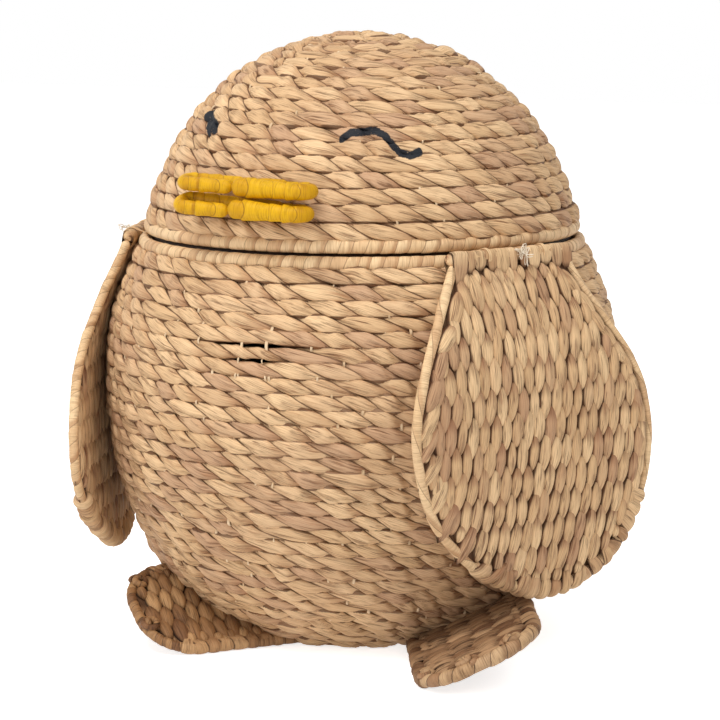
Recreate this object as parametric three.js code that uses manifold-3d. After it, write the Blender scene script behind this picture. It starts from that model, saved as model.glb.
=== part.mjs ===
// Bird-shaped storage basket woven from water hyacinth rope, with a lift-off head for a lid.
// Millimetres, +Z up, the floor at Z 0, the basket's axis on Z, the beak towards -Y.
import * as THREE from "three";
import { mergeVertices } from "three/addons/utils/BufferGeometryUtils.js";
import Module from "manifold-3d";

const wasm = await Module();
wasm.setup();

// Gaps between pieces, and the facets round every revolved piece
const CLEARANCE = 0.3;
const FRAME_GAP = 0.9;
const ROUND_STEPS = 32;
const ROLL_SIDES = 8;
const WIRE_SIDES = 4;
const HALVINGS = 40;

// Basket body: shares of its height with shares of the belly's radius, and above the belly
// with shares of the way in to the mouth, whose roll stands out past the lid and past the wall
const BODY_HEIGHT = 284;
const BELLY_RADIUS = 186.5;
const BELLY_SHARES = [[0, 0.525], [0.07, 0.665], [0.175, 0.808], [0.31, 0.908], [0.45, 0.973], [0.63, 1]];
const SHOULDER_SHARES = [[0.79, 0.155], [0.895, 0.5], [0.965, 0.824], [1, 1]];
const BODY_ROWS = 29;
const ROPE = 9.5;
const GROOVE = 1.9;
const INNER_ROWS = 3;
const BASE_THICKNESS = 7;
const MOUTH_ROLL = 4.3;
const MOUTH_STEP = 4;
const WALL_STEP = 2.4;

// Lid, the bird's head: the shares are of its height and of its radius at the rim
const LID_GAP = 3;
const LID_HEIGHT = 143;
const LID_RADIUS = 157.3;
const LID_OUTLINE_SHARES = [
  [0, 1], [0.09, 0.988], [0.175, 0.966], [0.26, 0.939], [0.345, 0.905], [0.435, 0.867],
  [0.515, 0.818], [0.6, 0.763], [0.69, 0.685], [0.775, 0.597], [0.865, 0.475],
  [0.93, 0.345], [0.98, 0.18], [1, 0],
];
const LID_ROWS = 19;
const LID_ROLL = 4.5;
const LID_RING = 4.3;

// Iron wire frame inside both
const WIRE = 2;
const RIBS = 8;
const RIB_STEPS = 7;
const CROWN_RADIUS = 12;
const BELLY_RING_SHARE = 0.63;

// Wings: outline shares are of the half width, and of the drop from the hinge
const WING_AZIMUTH = 67.5;
const WING_HALF_WIDTH = 109;
const WING_DROP = 236;
const WING_ROLL = 4.2;
const WING_LIFT = 3.8;
const WING_THICKNESS = 7.4;
const WING_BANDS = 13;
const WING_INWARD = 4;
const WING_EDGE_STEPS = 20;
const WING_FREE_STEPS = 4;
const WING_MARGIN = 1.2;
const WING_SEAT_SHARES = [0.68, 0.76, 0.84, 0.9, 0.955];
const WING_BACK_SHARES = [
  [0.08, 1], [0.45, 0.975], [0.72, 0.9], [0.92, 0.76], [1, 0.59],
  [0.96, 0.45], [0.85, 0.33], [0.66, 0.2], [0.52, 0.1], [0.44, 0],
];
const WINGS = {
  wing_left: {
    hand: (geometry) => geometry,
    frontShares: [
      [-0.5, 0], [-0.73, 0.14], [-0.92, 0.3], [-1, 0.46],
      [-0.95, 0.61], [-0.83, 0.74], [-0.58, 0.86], [-0.3, 0.945],
    ],
  },
  wing_right: {
    hand: mirrored,
    frontShares: [
      [-0.36, 0], [-0.4, 0.1], [-0.55, 0.2], [-0.8, 0.3], [-1.04, 0.46],
      [-1.1, 0.61], [-0.99, 0.74], [-0.68, 0.86], [-0.3, 0.945],
    ],
  },
};

// Thread loops that tie each wing's top roll to the mouth roll
const TIE_OFFSET = 25;
const TIE_THREAD = 1.2;
const TIE_WIDTH = 2.4;
const TIE_SLACK = 0.8;
const TIE_TURN_STEPS = 5;

// Feet: one pad shape, and for each foot its bearing, reach past the belly, front edge and rise to the back
const FOOT_WIDTH = 93;
const FOOT_CORNER = 33;
const FOOT_ROLL = 5;
const FOOT_THICKNESS = 8;
const FOOT_BANDS = 6;
const FOOT_EDGE_STEPS = 14;
const FOOT_ROOT = 60;
const FEET = {
  foot_left: { hand: (geometry) => geometry, yaw: 31, beyond: 45.5, front: -28, rise: 25 },
  foot_right: { hand: mirrored, yaw: 36.5, beyond: 0.5, front: 61, rise: 28.5 },
};
const BAND_RELIEF = 1.1;

// Beak: two flattened loops of wrapped strip, lapped on the front bar
const BEAK_LENGTH = 110;
const BEAK_ROLL = 6.7;
const BEAK_SLIT = 0.6;
const BEAK_STEPS = 20;
const BEAK_LAP = 7;
const BEAK_HEIGHTS = { beak_upper: 330.5, beak_lower: 316 };

const materials = {
  hyacinth: new THREE.MeshStandardMaterial({ color: 0xc9a578, roughness: 0.78, metalness: 0 }),
  strip: new THREE.MeshStandardMaterial({ color: 0xd6b88a, roughness: 0.7, metalness: 0 }),
  yellow: new THREE.MeshStandardMaterial({ color: 0xe0ab16, roughness: 0.6, metalness: 0 }),
  wire: new THREE.MeshStandardMaterial({ color: 0x2b2a28, roughness: 0.5, metalness: 0.6 }),
  thread: new THREE.MeshStandardMaterial({ color: 0xe9dcc2, roughness: 0.8, metalness: 0 }),
};
const basket = new THREE.Group();

/** Adds a named piece to the basket. */
function piece(name, geometry, finish) {
  const mesh = new THREE.Mesh(geometry, materials[finish]);
  mesh.name = name;
  basket.add(mesh);
}

/** Turns a closed geometry into a solid that can be cut. */
function solid(geometry) {
  const bare = geometry.clone();
  bare.deleteAttribute("normal");
  bare.deleteAttribute("uv");
  const merged = mergeVertices(bare);
  return new wasm.Manifold(new wasm.Mesh({
    numProp: 3,
    vertProperties: new Float32Array(merged.attributes.position.array),
    triVerts: new Uint32Array(merged.index.array),
  }));
}

/** Turns a cut solid back into a geometry. */
function fromSolid(cut) {
  const mesh = cut.getMesh();
  const geometry = new THREE.BufferGeometry();
  geometry.setAttribute("position", new THREE.BufferAttribute(new Float32Array(mesh.vertProperties), 3));
  geometry.setIndex(new THREE.BufferAttribute(new Uint32Array(mesh.triVerts), 1));
  geometry.computeVertexNormals();
  return geometry;
}

/** Revolves an outline of (radius, height) points about Z. */
function revolve(points) {
  return new THREE.LatheGeometry(points, ROUND_STEPS).rotateX(Math.PI / 2);
}

/** The point of a circle at an angle. */
function circlePoint(centre, radius, angle) {
  return new THREE.Vector2(centre.x + radius * Math.cos(angle), centre.y + radius * Math.sin(angle));
}

/** Corners of a regular section, as points about a centre. */
function sectionPoints(radius, sides, centre = new THREE.Vector2()) {
  return Array.from({ length: sides }, (_, i) => circlePoint(centre, radius, (2 * Math.PI * i) / sides));
}

/** A round ring of wire or roll, whose section's centre is (radius, height). */
function ring(centre, tube, sides) {
  const points = sectionPoints(tube, sides, centre);
  return revolve([...points, points[0]]);
}

/** A bar along a curve through points in space. */
function bar(points, tube, steps, sides) {
  const section = new THREE.Shape(sectionPoints(tube, sides));
  return new THREE.ExtrudeGeometry(section, { steps, extrudePath: new THREE.CatmullRomCurve3(points) });
}

/** Points of (radius, height) at shares of a height, each with its share of the way between two radii. */
function between(shares, foot, height, from, to) {
  const { lerp } = THREE.MathUtils;
  return shares.map(([up, way]) => new THREE.Vector2(lerp(from, to, way), foot + height * up));
}

/** The point at an arc share of a curve, moved square to it. An upward curve moves outward. */
function offsetPoint(curve, share, offset) {
  const point = curve.getPointAt(share);
  const along = curve.getTangentAt(share);
  return new THREE.Vector2(point.x + offset * along.y, point.y - offset * along.x);
}

/** The arc share at which a rising curve, moved square to itself, reaches a height. */
function shareAtHeight(curve, height, offset = 0) {
  let low = 0;
  let high = 1;
  for (let halving = 0; halving < HALVINGS; halving++) {
    const middle = (low + high) / 2;
    if (offsetPoint(curve, middle, offset).y < height) low = middle;
    else high = middle;
  }
  return low;
}

/** Equal stations from one share to another, both ends included. */
function stations(from, to, count) {
  return Array.from({ length: count + 1 }, (_, i) => THREE.MathUtils.lerp(from, to, i / count));
}

/** Outer points of a wall of rope rows: a groove before, between and after the crests. */
function ropeRows(curve, from, to, rows) {
  return stations(from, to, rows * 2).map((share, i) => offsetPoint(curve, share, i % 2 ? 0 : -GROOVE));
}

/** Inner points of the same wall, one for every few rows. */
function innerFace(curve, from, to, rows) {
  return stations(from, to, Math.ceil(rows / INNER_ROWS)).map((share) => offsetPoint(curve, share, -ROPE));
}

/** The ring centre at a radius that rests on a lower centre, a reach away. */
function seatAbove(lower, radius, reach) {
  return new THREE.Vector2(radius, lower.y + Math.sqrt(reach ** 2 - (radius - lower.x) ** 2));
}

/** Directions at a bearing from the beak: outward, and round towards the bird's left and back. */
function bearing(degrees) {
  const turn = THREE.MathUtils.degToRad(degrees);
  return {
    out: new THREE.Vector3(Math.sin(turn), -Math.cos(turn), 0),
    round: new THREE.Vector3(Math.cos(turn), Math.sin(turn), 0),
  };
}

// Seats that several pieces share
const UP = new THREE.Vector3(0, 0, 1);
const mouthRadius = LID_RADIUS + MOUTH_STEP;
const bodyCurve = new THREE.SplineCurve([
  ...between(BELLY_SHARES, 0, BODY_HEIGHT, 0, BELLY_RADIUS),
  ...between(SHOULDER_SHARES, 0, BODY_HEIGHT, BELLY_RADIUS, mouthRadius - WALL_STEP),
]);
const lidFoot = BODY_HEIGHT + LID_GAP;
const lidCurve = new THREE.SplineCurve(between(LID_OUTLINE_SHARES, lidFoot, LID_HEIGHT, 0, LID_RADIUS));
const mouth = new THREE.Vector2(mouthRadius - MOUTH_ROLL, BODY_HEIGHT - MOUTH_ROLL);
const wallTop = mouth.y - MOUTH_ROLL - CLEARANCE;
const wallTopShare = shareAtHeight(bodyCurve, wallTop - GROOVE, -GROOVE);
const tieReach = MOUTH_ROLL + TIE_SLACK + TIE_THREAD;
const tieMouth = new THREE.Vector2(Math.sqrt(mouth.x ** 2 - TIE_OFFSET ** 2), mouth.y);
const tieInside = Math.hypot(tieMouth.x - tieReach, TIE_OFFSET);
const mouthWire = new THREE.Vector2(tieInside - CLEARANCE - WIRE, wallTop + WIRE);
const rollReach = MOUTH_ROLL + WING_ROLL + CLEARANCE;
const hinge = seatAbove(mouth, mouth.x + Math.sqrt(rollReach ** 2 - WING_LIFT ** 2), rollReach);
const lidRoll = new THREE.Vector2(LID_RADIUS - LID_ROLL, lidFoot + LID_ROLL);
const lidRing = seatAbove(mouthWire, tieInside - CLEARANCE - LID_RING, WIRE + LID_RING + CLEARANCE);

/** Loop of thread round the mouth roll and a wing's top roll, grown by a margin. */
function tieLoop(margin) {
  const lean = Math.atan2(hinge.y - tieMouth.y, hinge.x - tieMouth.x);
  const turn = (centre, start, radius) => stations(start, start + Math.PI, TIE_TURN_STEPS)
    .map((angle) => circlePoint(centre, radius, angle));
  const loop = (radius) => [
    ...turn(hinge, lean - Math.PI / 2, radius),
    ...turn(tieMouth, lean + Math.PI / 2, radius),
  ];
  const section = new THREE.Shape(loop(tieReach + margin));
  section.holes.push(new THREE.Path(loop(tieReach - TIE_THREAD - margin)));
  const width = TIE_WIDTH + 2 * margin;
  return slab(section, width).translate(0, 0, -width / 2);
}

/** A flat shape given a depth. */
function slab(shape, depth) {
  return new THREE.ExtrudeGeometry(shape, { depth, steps: 1, bevelEnabled: false });
}

/** Places a section's geometry at a bearing: x outward, y up, and its depth about a sideways place. */
function atBearing(geometry, degrees, sideways = 0) {
  const { out, round } = bearing(degrees);
  const place = new THREE.Matrix4().makeBasis(out, UP, round.clone().negate());
  return geometry.applyMatrix4(place.setPosition(round.clone().multiplyScalar(sideways)));
}

/** Mirrors a left-hand geometry to the bird's right side. */
function mirrored(geometry) {
  const copy = geometry.index ? geometry.toNonIndexed() : geometry.clone();
  const from = copy.attributes.position.clone();
  const to = copy.attributes.position;
  for (let i = 0; i < from.count; i += 3) {
    [i, i + 2, i + 1].forEach((corner, k) => {
      to.setXYZ(i + k, -from.getX(corner), from.getY(corner), from.getZ(corner));
    });
  }
  copy.computeVertexNormals();
  return copy;
}

/** Section of plain weave along a curve: bands of strands that swell between the rods. */
function wovenSection(curve, thickness, bands) {
  const half = (i) => thickness / 2 - (i % 2 ? 0 : BAND_RELIEF);
  const shares = stations(0, 1, bands * 2);
  const outer = shares.map((share, i) => offsetPoint(curve, share, half(i)));
  const inner = shares.map((share, i) => offsetPoint(curve, share, -half(i)));
  return new THREE.Shape([...outer, ...inner.reverse()]);
}

/** Rope wall of the basket, with slots for the wing ties. */
function buildWall() {
  const rows = ropeRows(bodyCurve, 0, wallTopShare, BODY_ROWS);
  const points = [...rows, ...innerFace(bodyCurve, 0, wallTopShare, BODY_ROWS).reverse(), rows[0]];
  let wall = solid(revolve(points));
  for (const side of [-1, 1]) {
    for (const offset of [-TIE_OFFSET, TIE_OFFSET]) {
      wall = wall.subtract(solid(atBearing(tieLoop(CLEARANCE), side * WING_AZIMUTH, offset)));
    }
  }
  piece("body_wall", fromSolid(wall), "hyacinth");
  piece("body_mouth_roll", ring(mouth, MOUTH_ROLL, ROLL_SIDES), "strip");
}

/** Flat base inside the foot of the wall. */
function buildBase() {
  const inner = offsetPoint(bodyCurve, 0, -ROPE);
  const outer = offsetPoint(bodyCurve, 0, -GROOVE);
  const slope = (outer.x - inner.x) / (inner.y - outer.y);
  const gap = CLEARANCE * Math.hypot(1, slope);
  const edge = (height) => new THREE.Vector2(outer.x + (outer.y - height) * slope - gap, height);
  const axis = (height) => new THREE.Vector2(0, height);
  piece("body_base", revolve([axis(0), edge(0), edge(BASE_THICKNESS), axis(BASE_THICKNESS)]), "hyacinth");
}

/** Ribs of wire on equal bearings, along the same run of (radius, height) points. */
function buildRibs(name, run) {
  for (let i = 0; i < RIBS; i++) {
    const { out } = bearing((360 * i) / RIBS);
    const path = run.map((point) => out.clone().multiplyScalar(point.x).addScaledVector(UP, point.y));
    piece(`${name}_${i + 1}`, bar(path, WIRE, RIB_STEPS, WIRE_SIDES), "wire");
  }
}

/** Iron rings and ribs inside the basket. */
function buildBodyFrame() {
  const offset = -(ROPE + FRAME_GAP + WIRE);
  const footShare = shareAtHeight(bodyCurve, BASE_THICKNESS + CLEARANCE + WIRE, offset);
  const foot = offsetPoint(bodyCurve, footShare, offset);
  const belly = offsetPoint(bodyCurve, BELLY_RING_SHARE, offset - FRAME_GAP - 2 * WIRE);
  piece("frame_ring_mouth", ring(mouthWire, WIRE, WIRE_SIDES), "wire");
  piece("frame_ring_belly", ring(belly, WIRE, WIRE_SIDES), "wire");
  piece("frame_ring_base", ring(foot, WIRE, WIRE_SIDES), "wire");
  const from = footShare + (WIRE + CLEARANCE) / bodyCurve.getLength();
  const to = shareAtHeight(bodyCurve, mouthWire.y - WIRE - CLEARANCE, offset);
  buildRibs("frame_rib", stations(from, to, RIB_STEPS).map((share) => offsetPoint(bodyCurve, share, offset)));
}

/** Domed lid of rope rows, its rim and the ring that seats in the mouth. */
function buildLid() {
  const wallFoot = lidRoll.y + LID_ROLL + CLEARANCE;
  const from = shareAtHeight(lidCurve, wallFoot, -LID_ROLL);
  const inner = innerFace(lidCurve, from, 1, LID_ROWS).reverse();
  const outer = ropeRows(lidCurve, from, 1, LID_ROWS);
  inner[0].x = 0;
  outer[outer.length - 1].x = 0;
  piece("lid_shell", revolve([...inner, ...outer]), "hyacinth");
  piece("lid_roll", ring(lidRoll, LID_ROLL, ROLL_SIDES), "strip");
  piece("lid_seat_ring", ring(lidRing, LID_RING, ROLL_SIDES), "strip");
  const offset = -(ROPE + FRAME_GAP + WIRE);
  const length = lidCurve.getLength();
  const crown = offsetPoint(lidCurve, 1 - CROWN_RADIUS / length, offset);
  piece("lid_ring_crown", ring(crown, WIRE, WIRE_SIDES), "wire");
  const to = 1 - (CROWN_RADIUS + WIRE + CLEARANCE) / length;
  const foot = shareAtHeight(lidCurve, lidRing.y + LID_RING + CLEARANCE, offset);
  buildRibs("lid_rib", stations(foot, to, RIB_STEPS).map((share) => offsetPoint(lidCurve, share, offset)));
}

/** Middle line of a wing in section, from its bottom edge up to the hinge. */
function wingCurve() {
  const off = CLEARANCE + WING_THICKNESS / 2;
  const seats = WING_SEAT_SHARES.map((share) => {
    return offsetPoint(bodyCurve, shareAtHeight(bodyCurve, BODY_HEIGHT * share), off);
  });
  const bottom = hinge.y - WING_DROP;
  const free = stations(1, 0, WING_FREE_STEPS).slice(0, -1).map((share) => new THREE.Vector2(
    seats[0].x - WING_INWARD * share ** 2, THREE.MathUtils.lerp(seats[0].y, bottom, share),
  ));
  return new THREE.SplineCurve([...free, ...seats, hinge]);
}

/** Wing outline in (sideways, height), moved inward, from the front top round to the back top. */
function wingOutline(frontShares, inset) {
  const curve = new THREE.SplineCurve([...frontShares, ...WING_BACK_SHARES].map(([across, drop]) => {
    return new THREE.Vector2(WING_HALF_WIDTH * across, hinge.y - WING_DROP * drop);
  }));
  return stations(0, 1, WING_EDGE_STEPS).map((share) => offsetPoint(curve, share, -inset));
}

/** A wing: a top roll that turns in its ties, an edge roll and a woven panel. */
function buildWing(name, { hand, frontShares }) {
  const curve = wingCurve();
  const radiusAt = (height) => curve.getPointAt(shareAtHeight(curve, height)).x;
  const { out, round } = bearing(WING_AZIMUTH);
  const cylinder = (radius, from, to) => {
    const tube = new THREE.CylinderGeometry(radius, radius, to - from, ROLL_SIDES).rotateX(Math.PI / 2);
    return atBearing(tube.translate(hinge.x, hinge.y, 0), WING_AZIMUTH, (from + to) / 2);
  };
  const front = frontShares[0][0] * WING_HALF_WIDTH;
  const back = WING_BACK_SHARES.at(-1)[0] * WING_HALF_WIDTH;
  piece(`${name}_roll`, hand(cylinder(WING_ROLL, front, back)), "strip");

  const seatRadius = (WING_ROLL + CLEARANCE) / Math.cos(Math.PI / ROLL_SIDES);
  const seat = solid(cylinder(seatRadius, 2 * front, 2 * back));
  const path = wingOutline(frontShares, WING_ROLL).map(({ x, y }) => {
    return out.clone().multiplyScalar(radiusAt(y)).addScaledVector(round, x).addScaledVector(UP, y);
  });
  const edge = solid(bar(path, WING_ROLL, WING_EDGE_STEPS, ROLL_SIDES)).subtract(seat);
  piece(`${name}_edge`, hand(fromSolid(edge)), "strip");

  const reach = WING_HALF_WIDTH * WING_MARGIN;
  const weave = wovenSection(curve, WING_THICKNESS, WING_BANDS);
  const strip = slab(weave, 2 * reach).translate(0, 0, -reach);
  const face = new THREE.Shape(wingOutline(frontShares, 2 * WING_ROLL + FRAME_GAP));
  const prism = slab(face, 2 * hinge.x);
  prism.applyMatrix4(new THREE.Matrix4().makeBasis(round, UP, out));
  let panel = solid(atBearing(strip, WING_AZIMUTH)).intersect(solid(prism)).subtract(seat);
  const notch = Math.hypot(tieReach, WING_THICKNESS) + CLEARANCE;
  const half = TIE_WIDTH / 2 + 2 * CLEARANCE;
  for (const offset of [-TIE_OFFSET, TIE_OFFSET]) {
    panel = panel.subtract(solid(cylinder(notch, offset - half, offset + half)));
  }
  piece(`${name}_panel`, hand(fromSolid(panel)), "hyacinth");
  piece(`${name}_tie_front`, hand(atBearing(tieLoop(0), WING_AZIMUTH, -TIE_OFFSET)), "thread");
  piece(`${name}_tie_back`, hand(atBearing(tieLoop(0), WING_AZIMUTH, TIE_OFFSET)), "thread");
}

/** Body of revolution that the feet are fitted round: the rope crests with a clearance. */
function bodyEnvelope() {
  const shares = stations(0, wallTopShare, BODY_ROWS * 2);
  const crests = shares.map((share) => offsetPoint(bodyCurve, share, CLEARANCE));
  const core = (height) => new THREE.Vector2(FOOT_ROOT / 2, height);
  return solid(revolve([core(crests[0].y), ...crests, core(crests.at(-1).y), core(crests[0].y)]));
}

/** Outline of a foot's edge from its root along the front, round the toe and back, moved inward. */
function footOutline(reach, inset) {
  const width = FOOT_WIDTH - 2 * FOOT_ROLL;
  const corner = FOOT_CORNER - inset;
  const path = new THREE.Path();
  path.moveTo(FOOT_ROOT, inset);
  path.lineTo(reach - FOOT_ROLL - FOOT_CORNER, inset);
  path.absarc(reach - FOOT_ROLL - FOOT_CORNER, FOOT_CORNER, corner, -Math.PI / 2, 0);
  path.absarc(reach - FOOT_ROLL - FOOT_CORNER, width - FOOT_CORNER, corner, 0, Math.PI / 2);
  path.lineTo(FOOT_ROOT, width - inset);
  return path;
}

/** A foot: a woven pad in a rolled edge, cut to the wall that it is sewn to. */
function buildFoot(name, { hand, yaw, beyond, front, rise }, envelope) {
  const reach = BELLY_RADIUS + beyond;
  const { out, round } = bearing(yaw);
  const tilt = THREE.MathUtils.degToRad(rise);
  const across = round.clone().multiplyScalar(Math.cos(tilt)).addScaledVector(UP, Math.sin(tilt));
  const normal = out.clone().cross(across);
  const origin = round.clone().multiplyScalar(FOOT_ROLL - front).addScaledVector(UP, FOOT_ROLL);
  const place = ({ x, y }) => origin.clone().addScaledVector(out, x).addScaledVector(across, y);

  const path = footOutline(reach, 0).getSpacedPoints(FOOT_EDGE_STEPS).map(place);
  const edge = solid(bar(path, FOOT_ROLL, FOOT_EDGE_STEPS, ROLL_SIDES)).subtract(envelope);
  piece(`${name}_edge`, hand(fromSolid(edge)), "strip");

  const span = new THREE.LineCurve(new THREE.Vector2(FOOT_WIDTH - 2 * FOOT_ROLL, 0), new THREE.Vector2());
  const weave = wovenSection(span, FOOT_THICKNESS, FOOT_BANDS);
  const strip = slab(weave, reach);
  strip.applyMatrix4(new THREE.Matrix4().makeBasis(across, normal, out).setPosition(origin));
  const face = new THREE.Shape(footOutline(reach, FOOT_ROLL + FRAME_GAP).getSpacedPoints(FOOT_EDGE_STEPS));
  const prism = slab(face, 2 * FOOT_THICKNESS).translate(0, 0, -FOOT_THICKNESS);
  prism.applyMatrix4(new THREE.Matrix4().makeBasis(out, across, normal).setPosition(origin));
  const pad = solid(strip).intersect(solid(prism)).subtract(envelope);
  piece(`${name}_pad`, hand(fromSolid(pad)), "hyacinth");
}

/** One beak loop: a wrapped roll bent flat, its ends meeting in a lap on the front bar. */
function buildBeak(name, height) {
  const off = BEAK_ROLL + CLEARANCE;
  const rear = offsetPoint(lidCurve, shareAtHeight(lidCurve, height, off), off).x;
  const turn = BEAK_ROLL + BEAK_SLIT / 2;
  const half = BEAK_LENGTH / 2 - BEAK_ROLL - turn;
  const path = new THREE.Path();
  path.moveTo(-BEAK_LAP + CLEARANCE, 2 * turn);
  path.lineTo(half, 2 * turn);
  path.absarc(half, turn, turn, Math.PI / 2, -Math.PI / 2, true);
  path.absarc(-half, turn, turn, -Math.PI / 2, -3 * Math.PI / 2, true);
  path.lineTo(-BEAK_LAP - CLEARANCE, 2 * turn);
  const points = path.getSpacedPoints(BEAK_STEPS).map(({ x, y }) => new THREE.Vector3(x, -rear - y, height));
  piece(name, bar(points, BEAK_ROLL, BEAK_STEPS, ROLL_SIDES), "yellow");
}

buildWall();
buildBase();
buildBodyFrame();
buildLid();
for (const [name, stance] of Object.entries(WINGS)) buildWing(name, stance);
const envelope = bodyEnvelope();
for (const [name, stance] of Object.entries(FEET)) buildFoot(name, stance, envelope);
for (const [name, height] of Object.entries(BEAK_HEIGHTS)) buildBeak(name, height);

export default basket;
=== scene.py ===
"""Lidded basket in the shape of a bird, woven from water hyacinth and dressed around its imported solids.

Every length is in metres, in the frame of the solids: Z is up, the beak points to -Y and the basket's axis is Z.
A bearing is an angle round that axis, from the beak towards the bird's left.
"""

import logging
import math
from collections.abc import Callable, Sequence
from dataclasses import dataclass, field
from enum import Enum
from typing import Any

import bpy
import numpy as np
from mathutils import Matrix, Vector


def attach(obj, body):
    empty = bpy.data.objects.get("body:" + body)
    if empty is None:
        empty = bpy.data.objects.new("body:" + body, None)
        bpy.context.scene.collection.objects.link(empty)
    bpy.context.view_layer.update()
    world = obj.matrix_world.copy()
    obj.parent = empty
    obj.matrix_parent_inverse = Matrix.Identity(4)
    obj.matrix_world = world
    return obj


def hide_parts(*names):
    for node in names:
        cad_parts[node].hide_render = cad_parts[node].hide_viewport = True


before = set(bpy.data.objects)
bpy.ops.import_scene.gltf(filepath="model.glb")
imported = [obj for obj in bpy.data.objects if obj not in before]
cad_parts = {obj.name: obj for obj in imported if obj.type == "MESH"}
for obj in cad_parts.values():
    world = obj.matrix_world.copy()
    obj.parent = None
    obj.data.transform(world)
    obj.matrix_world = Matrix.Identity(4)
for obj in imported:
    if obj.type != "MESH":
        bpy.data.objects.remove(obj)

Array = np.ndarray
Colour = tuple[float, float, float]
Pair = tuple[float, float]
Pairs = tuple[Pair, ...]
Tint = tuple[int, int, int]
Surface = Callable[[Array, Array, Array], Array]
Rng = np.random.Generator
Material, Tree = bpy.types.Material, bpy.types.NodeTree
Node, Socket = bpy.types.Node, bpy.types.NodeSocket
MM = 0.001
UP = np.array([0.0, 0.0, 1.0])

# Every leaf has a number of its own, which draws its tint. These keep the numbers of different pieces apart.
LEAVES_IN_ROW = 400
LEAVES_IN_STRAND = 200
LEAVES_IN_FIELD = 600
FRONT_LEAVES = 9000
BACK_LEAVES = 9500

log = logging.getLogger("basket")


class Slot(Enum):
    """Material slots of the record."""

    ROPE = "hyacinth_rope"
    STRIP = "wrapped_strip"
    YELLOW = "yellow_strip"
    THREAD = "tie_thread"


class Side(Enum):
    """The bird's own sides, with the sign of X on each."""

    LEFT = 1
    RIGHT = -1


def from_screen(red: int, green: int, blue: int) -> Colour:
    """The linear colour that a shader takes, from one as seen on a screen, each part from 0 to 255."""
    return tuple((value / 255) ** 2.2 for value in (red, green, blue))


def unit(vectors: Array) -> Array:
    """Vectors of length one along the given ones."""
    return vectors / np.linalg.norm(vectors, axis=-1, keepdims=True)


def pair(first: Array | float, second: Array | float) -> Array:
    """Two grids of numbers as one grid of pairs."""
    return np.stack(np.broadcast_arrays(first, second), -1)


def run_of(points: Array) -> Array:
    """How far along its own line each point lies."""
    return np.concatenate([[0.0], np.cumsum(np.linalg.norm(np.diff(points, axis=0), axis=1))])


def sample(at: Array | float, run: Array, values: Array) -> Array:
    """Rows of values, whose places are the run, read off at other places."""
    return np.stack([np.interp(at, run, column) for column in values.T], -1)


def full_turn(sides: int) -> Array:
    """Angles once round a section, with the first one again at the end."""
    return np.linspace(-math.pi, math.pi, sides + 1)


def hump(place: Array, powers: Pair) -> Array:
    """A rounded hump that is 1 in the middle and falls to 0 at -1 and 1."""
    return np.clip(1 - np.abs(place) ** powers[0], 0, 1) ** powers[1]


def about_axis(radius: Array | float, height: Array | float, bearing: Array) -> Array:
    """Points at a radius, a height and a bearing."""
    return np.stack(np.broadcast_arrays(radius * np.sin(bearing), -radius * np.cos(bearing), height), -1)


def draws(seed: int) -> Rng:
    """A source of random draws, which gives the same ones at every run."""
    return np.random.default_rng(seed)


def bearing_axes(bearing: float) -> tuple[Array, Array]:
    """The outward direction at a bearing, and the one that leads round towards the bird's left and back."""
    sine, cosine = math.sin(bearing), math.cos(bearing)
    return np.array([sine, -cosine, 0.0]), np.array([cosine, sine, 0.0])


def wobble(rng: Rng, angle: Array, waves: int) -> Array:
    """A smooth uneven line of about -1 to 1 that closes on itself, at angles round a ring."""
    total = sum(rng.normal() * np.cos(wave * angle + rng.uniform(0, math.tau)) for wave in range(1, waves + 1))
    return total / math.sqrt(waves)


class Outline:
    """Spline through flat points, measured by its own length, as in the basket's solids."""

    def __init__(self, points: Sequence[Sequence[float]], samples: int = 4000) -> None:
        """Draws the spline.

        Args:
            points: Flat points that it passes through.
            samples: How finely it is measured.
        """
        corners = np.asarray(points, float)
        last = len(corners) - 1
        place = np.linspace(0, last, samples)
        index = np.minimum(place.astype(int), last - 1)
        part = (place - index)[:, None]
        before, start = corners[np.maximum(index - 1, 0)], corners[index]
        end, after = corners[index + 1], corners[np.minimum(index + 2, last)]
        leave, arrive = (end - before) / 2, (after - start) / 2
        cubic = (2 * start - 2 * end + leave + arrive) * part**3
        square = (3 * end - 3 * start - 2 * leave - arrive) * part**2
        self.points = cubic + square + leave * part + start
        steps = np.linalg.norm(np.diff(self.points, axis=0), axis=1)
        self.length = float(steps.sum())
        self.shares = np.concatenate([[0.0], np.cumsum(steps)]) / self.length
        self.tangents = unit(np.gradient(self.points, axis=0))

    def at(self, share: Array | float) -> tuple[Array, Array]:
        """Points and unit directions at shares of the length."""
        return sample(share, self.shares, self.points), unit(sample(share, self.shares, self.tangents))

    def offset(self, share: Array | float, reach: float) -> Array:
        """Points at shares of the length, moved square to the spline by a reach, outward where it rises."""
        points, along = self.at(share)
        return points + reach * np.stack([along[..., 1], -along[..., 0]], -1)

    def share_at_height(self, height: float, reach: float = 0.0) -> float:
        """The share at which a rising spline, moved square to itself, reaches a height."""
        low, high = 0.0, 1.0
        for _ in range(40):
            middle = (low + high) / 2
            if self.offset(middle, reach)[1] < height:
                low = middle
            else:
                high = middle
        return low


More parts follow.
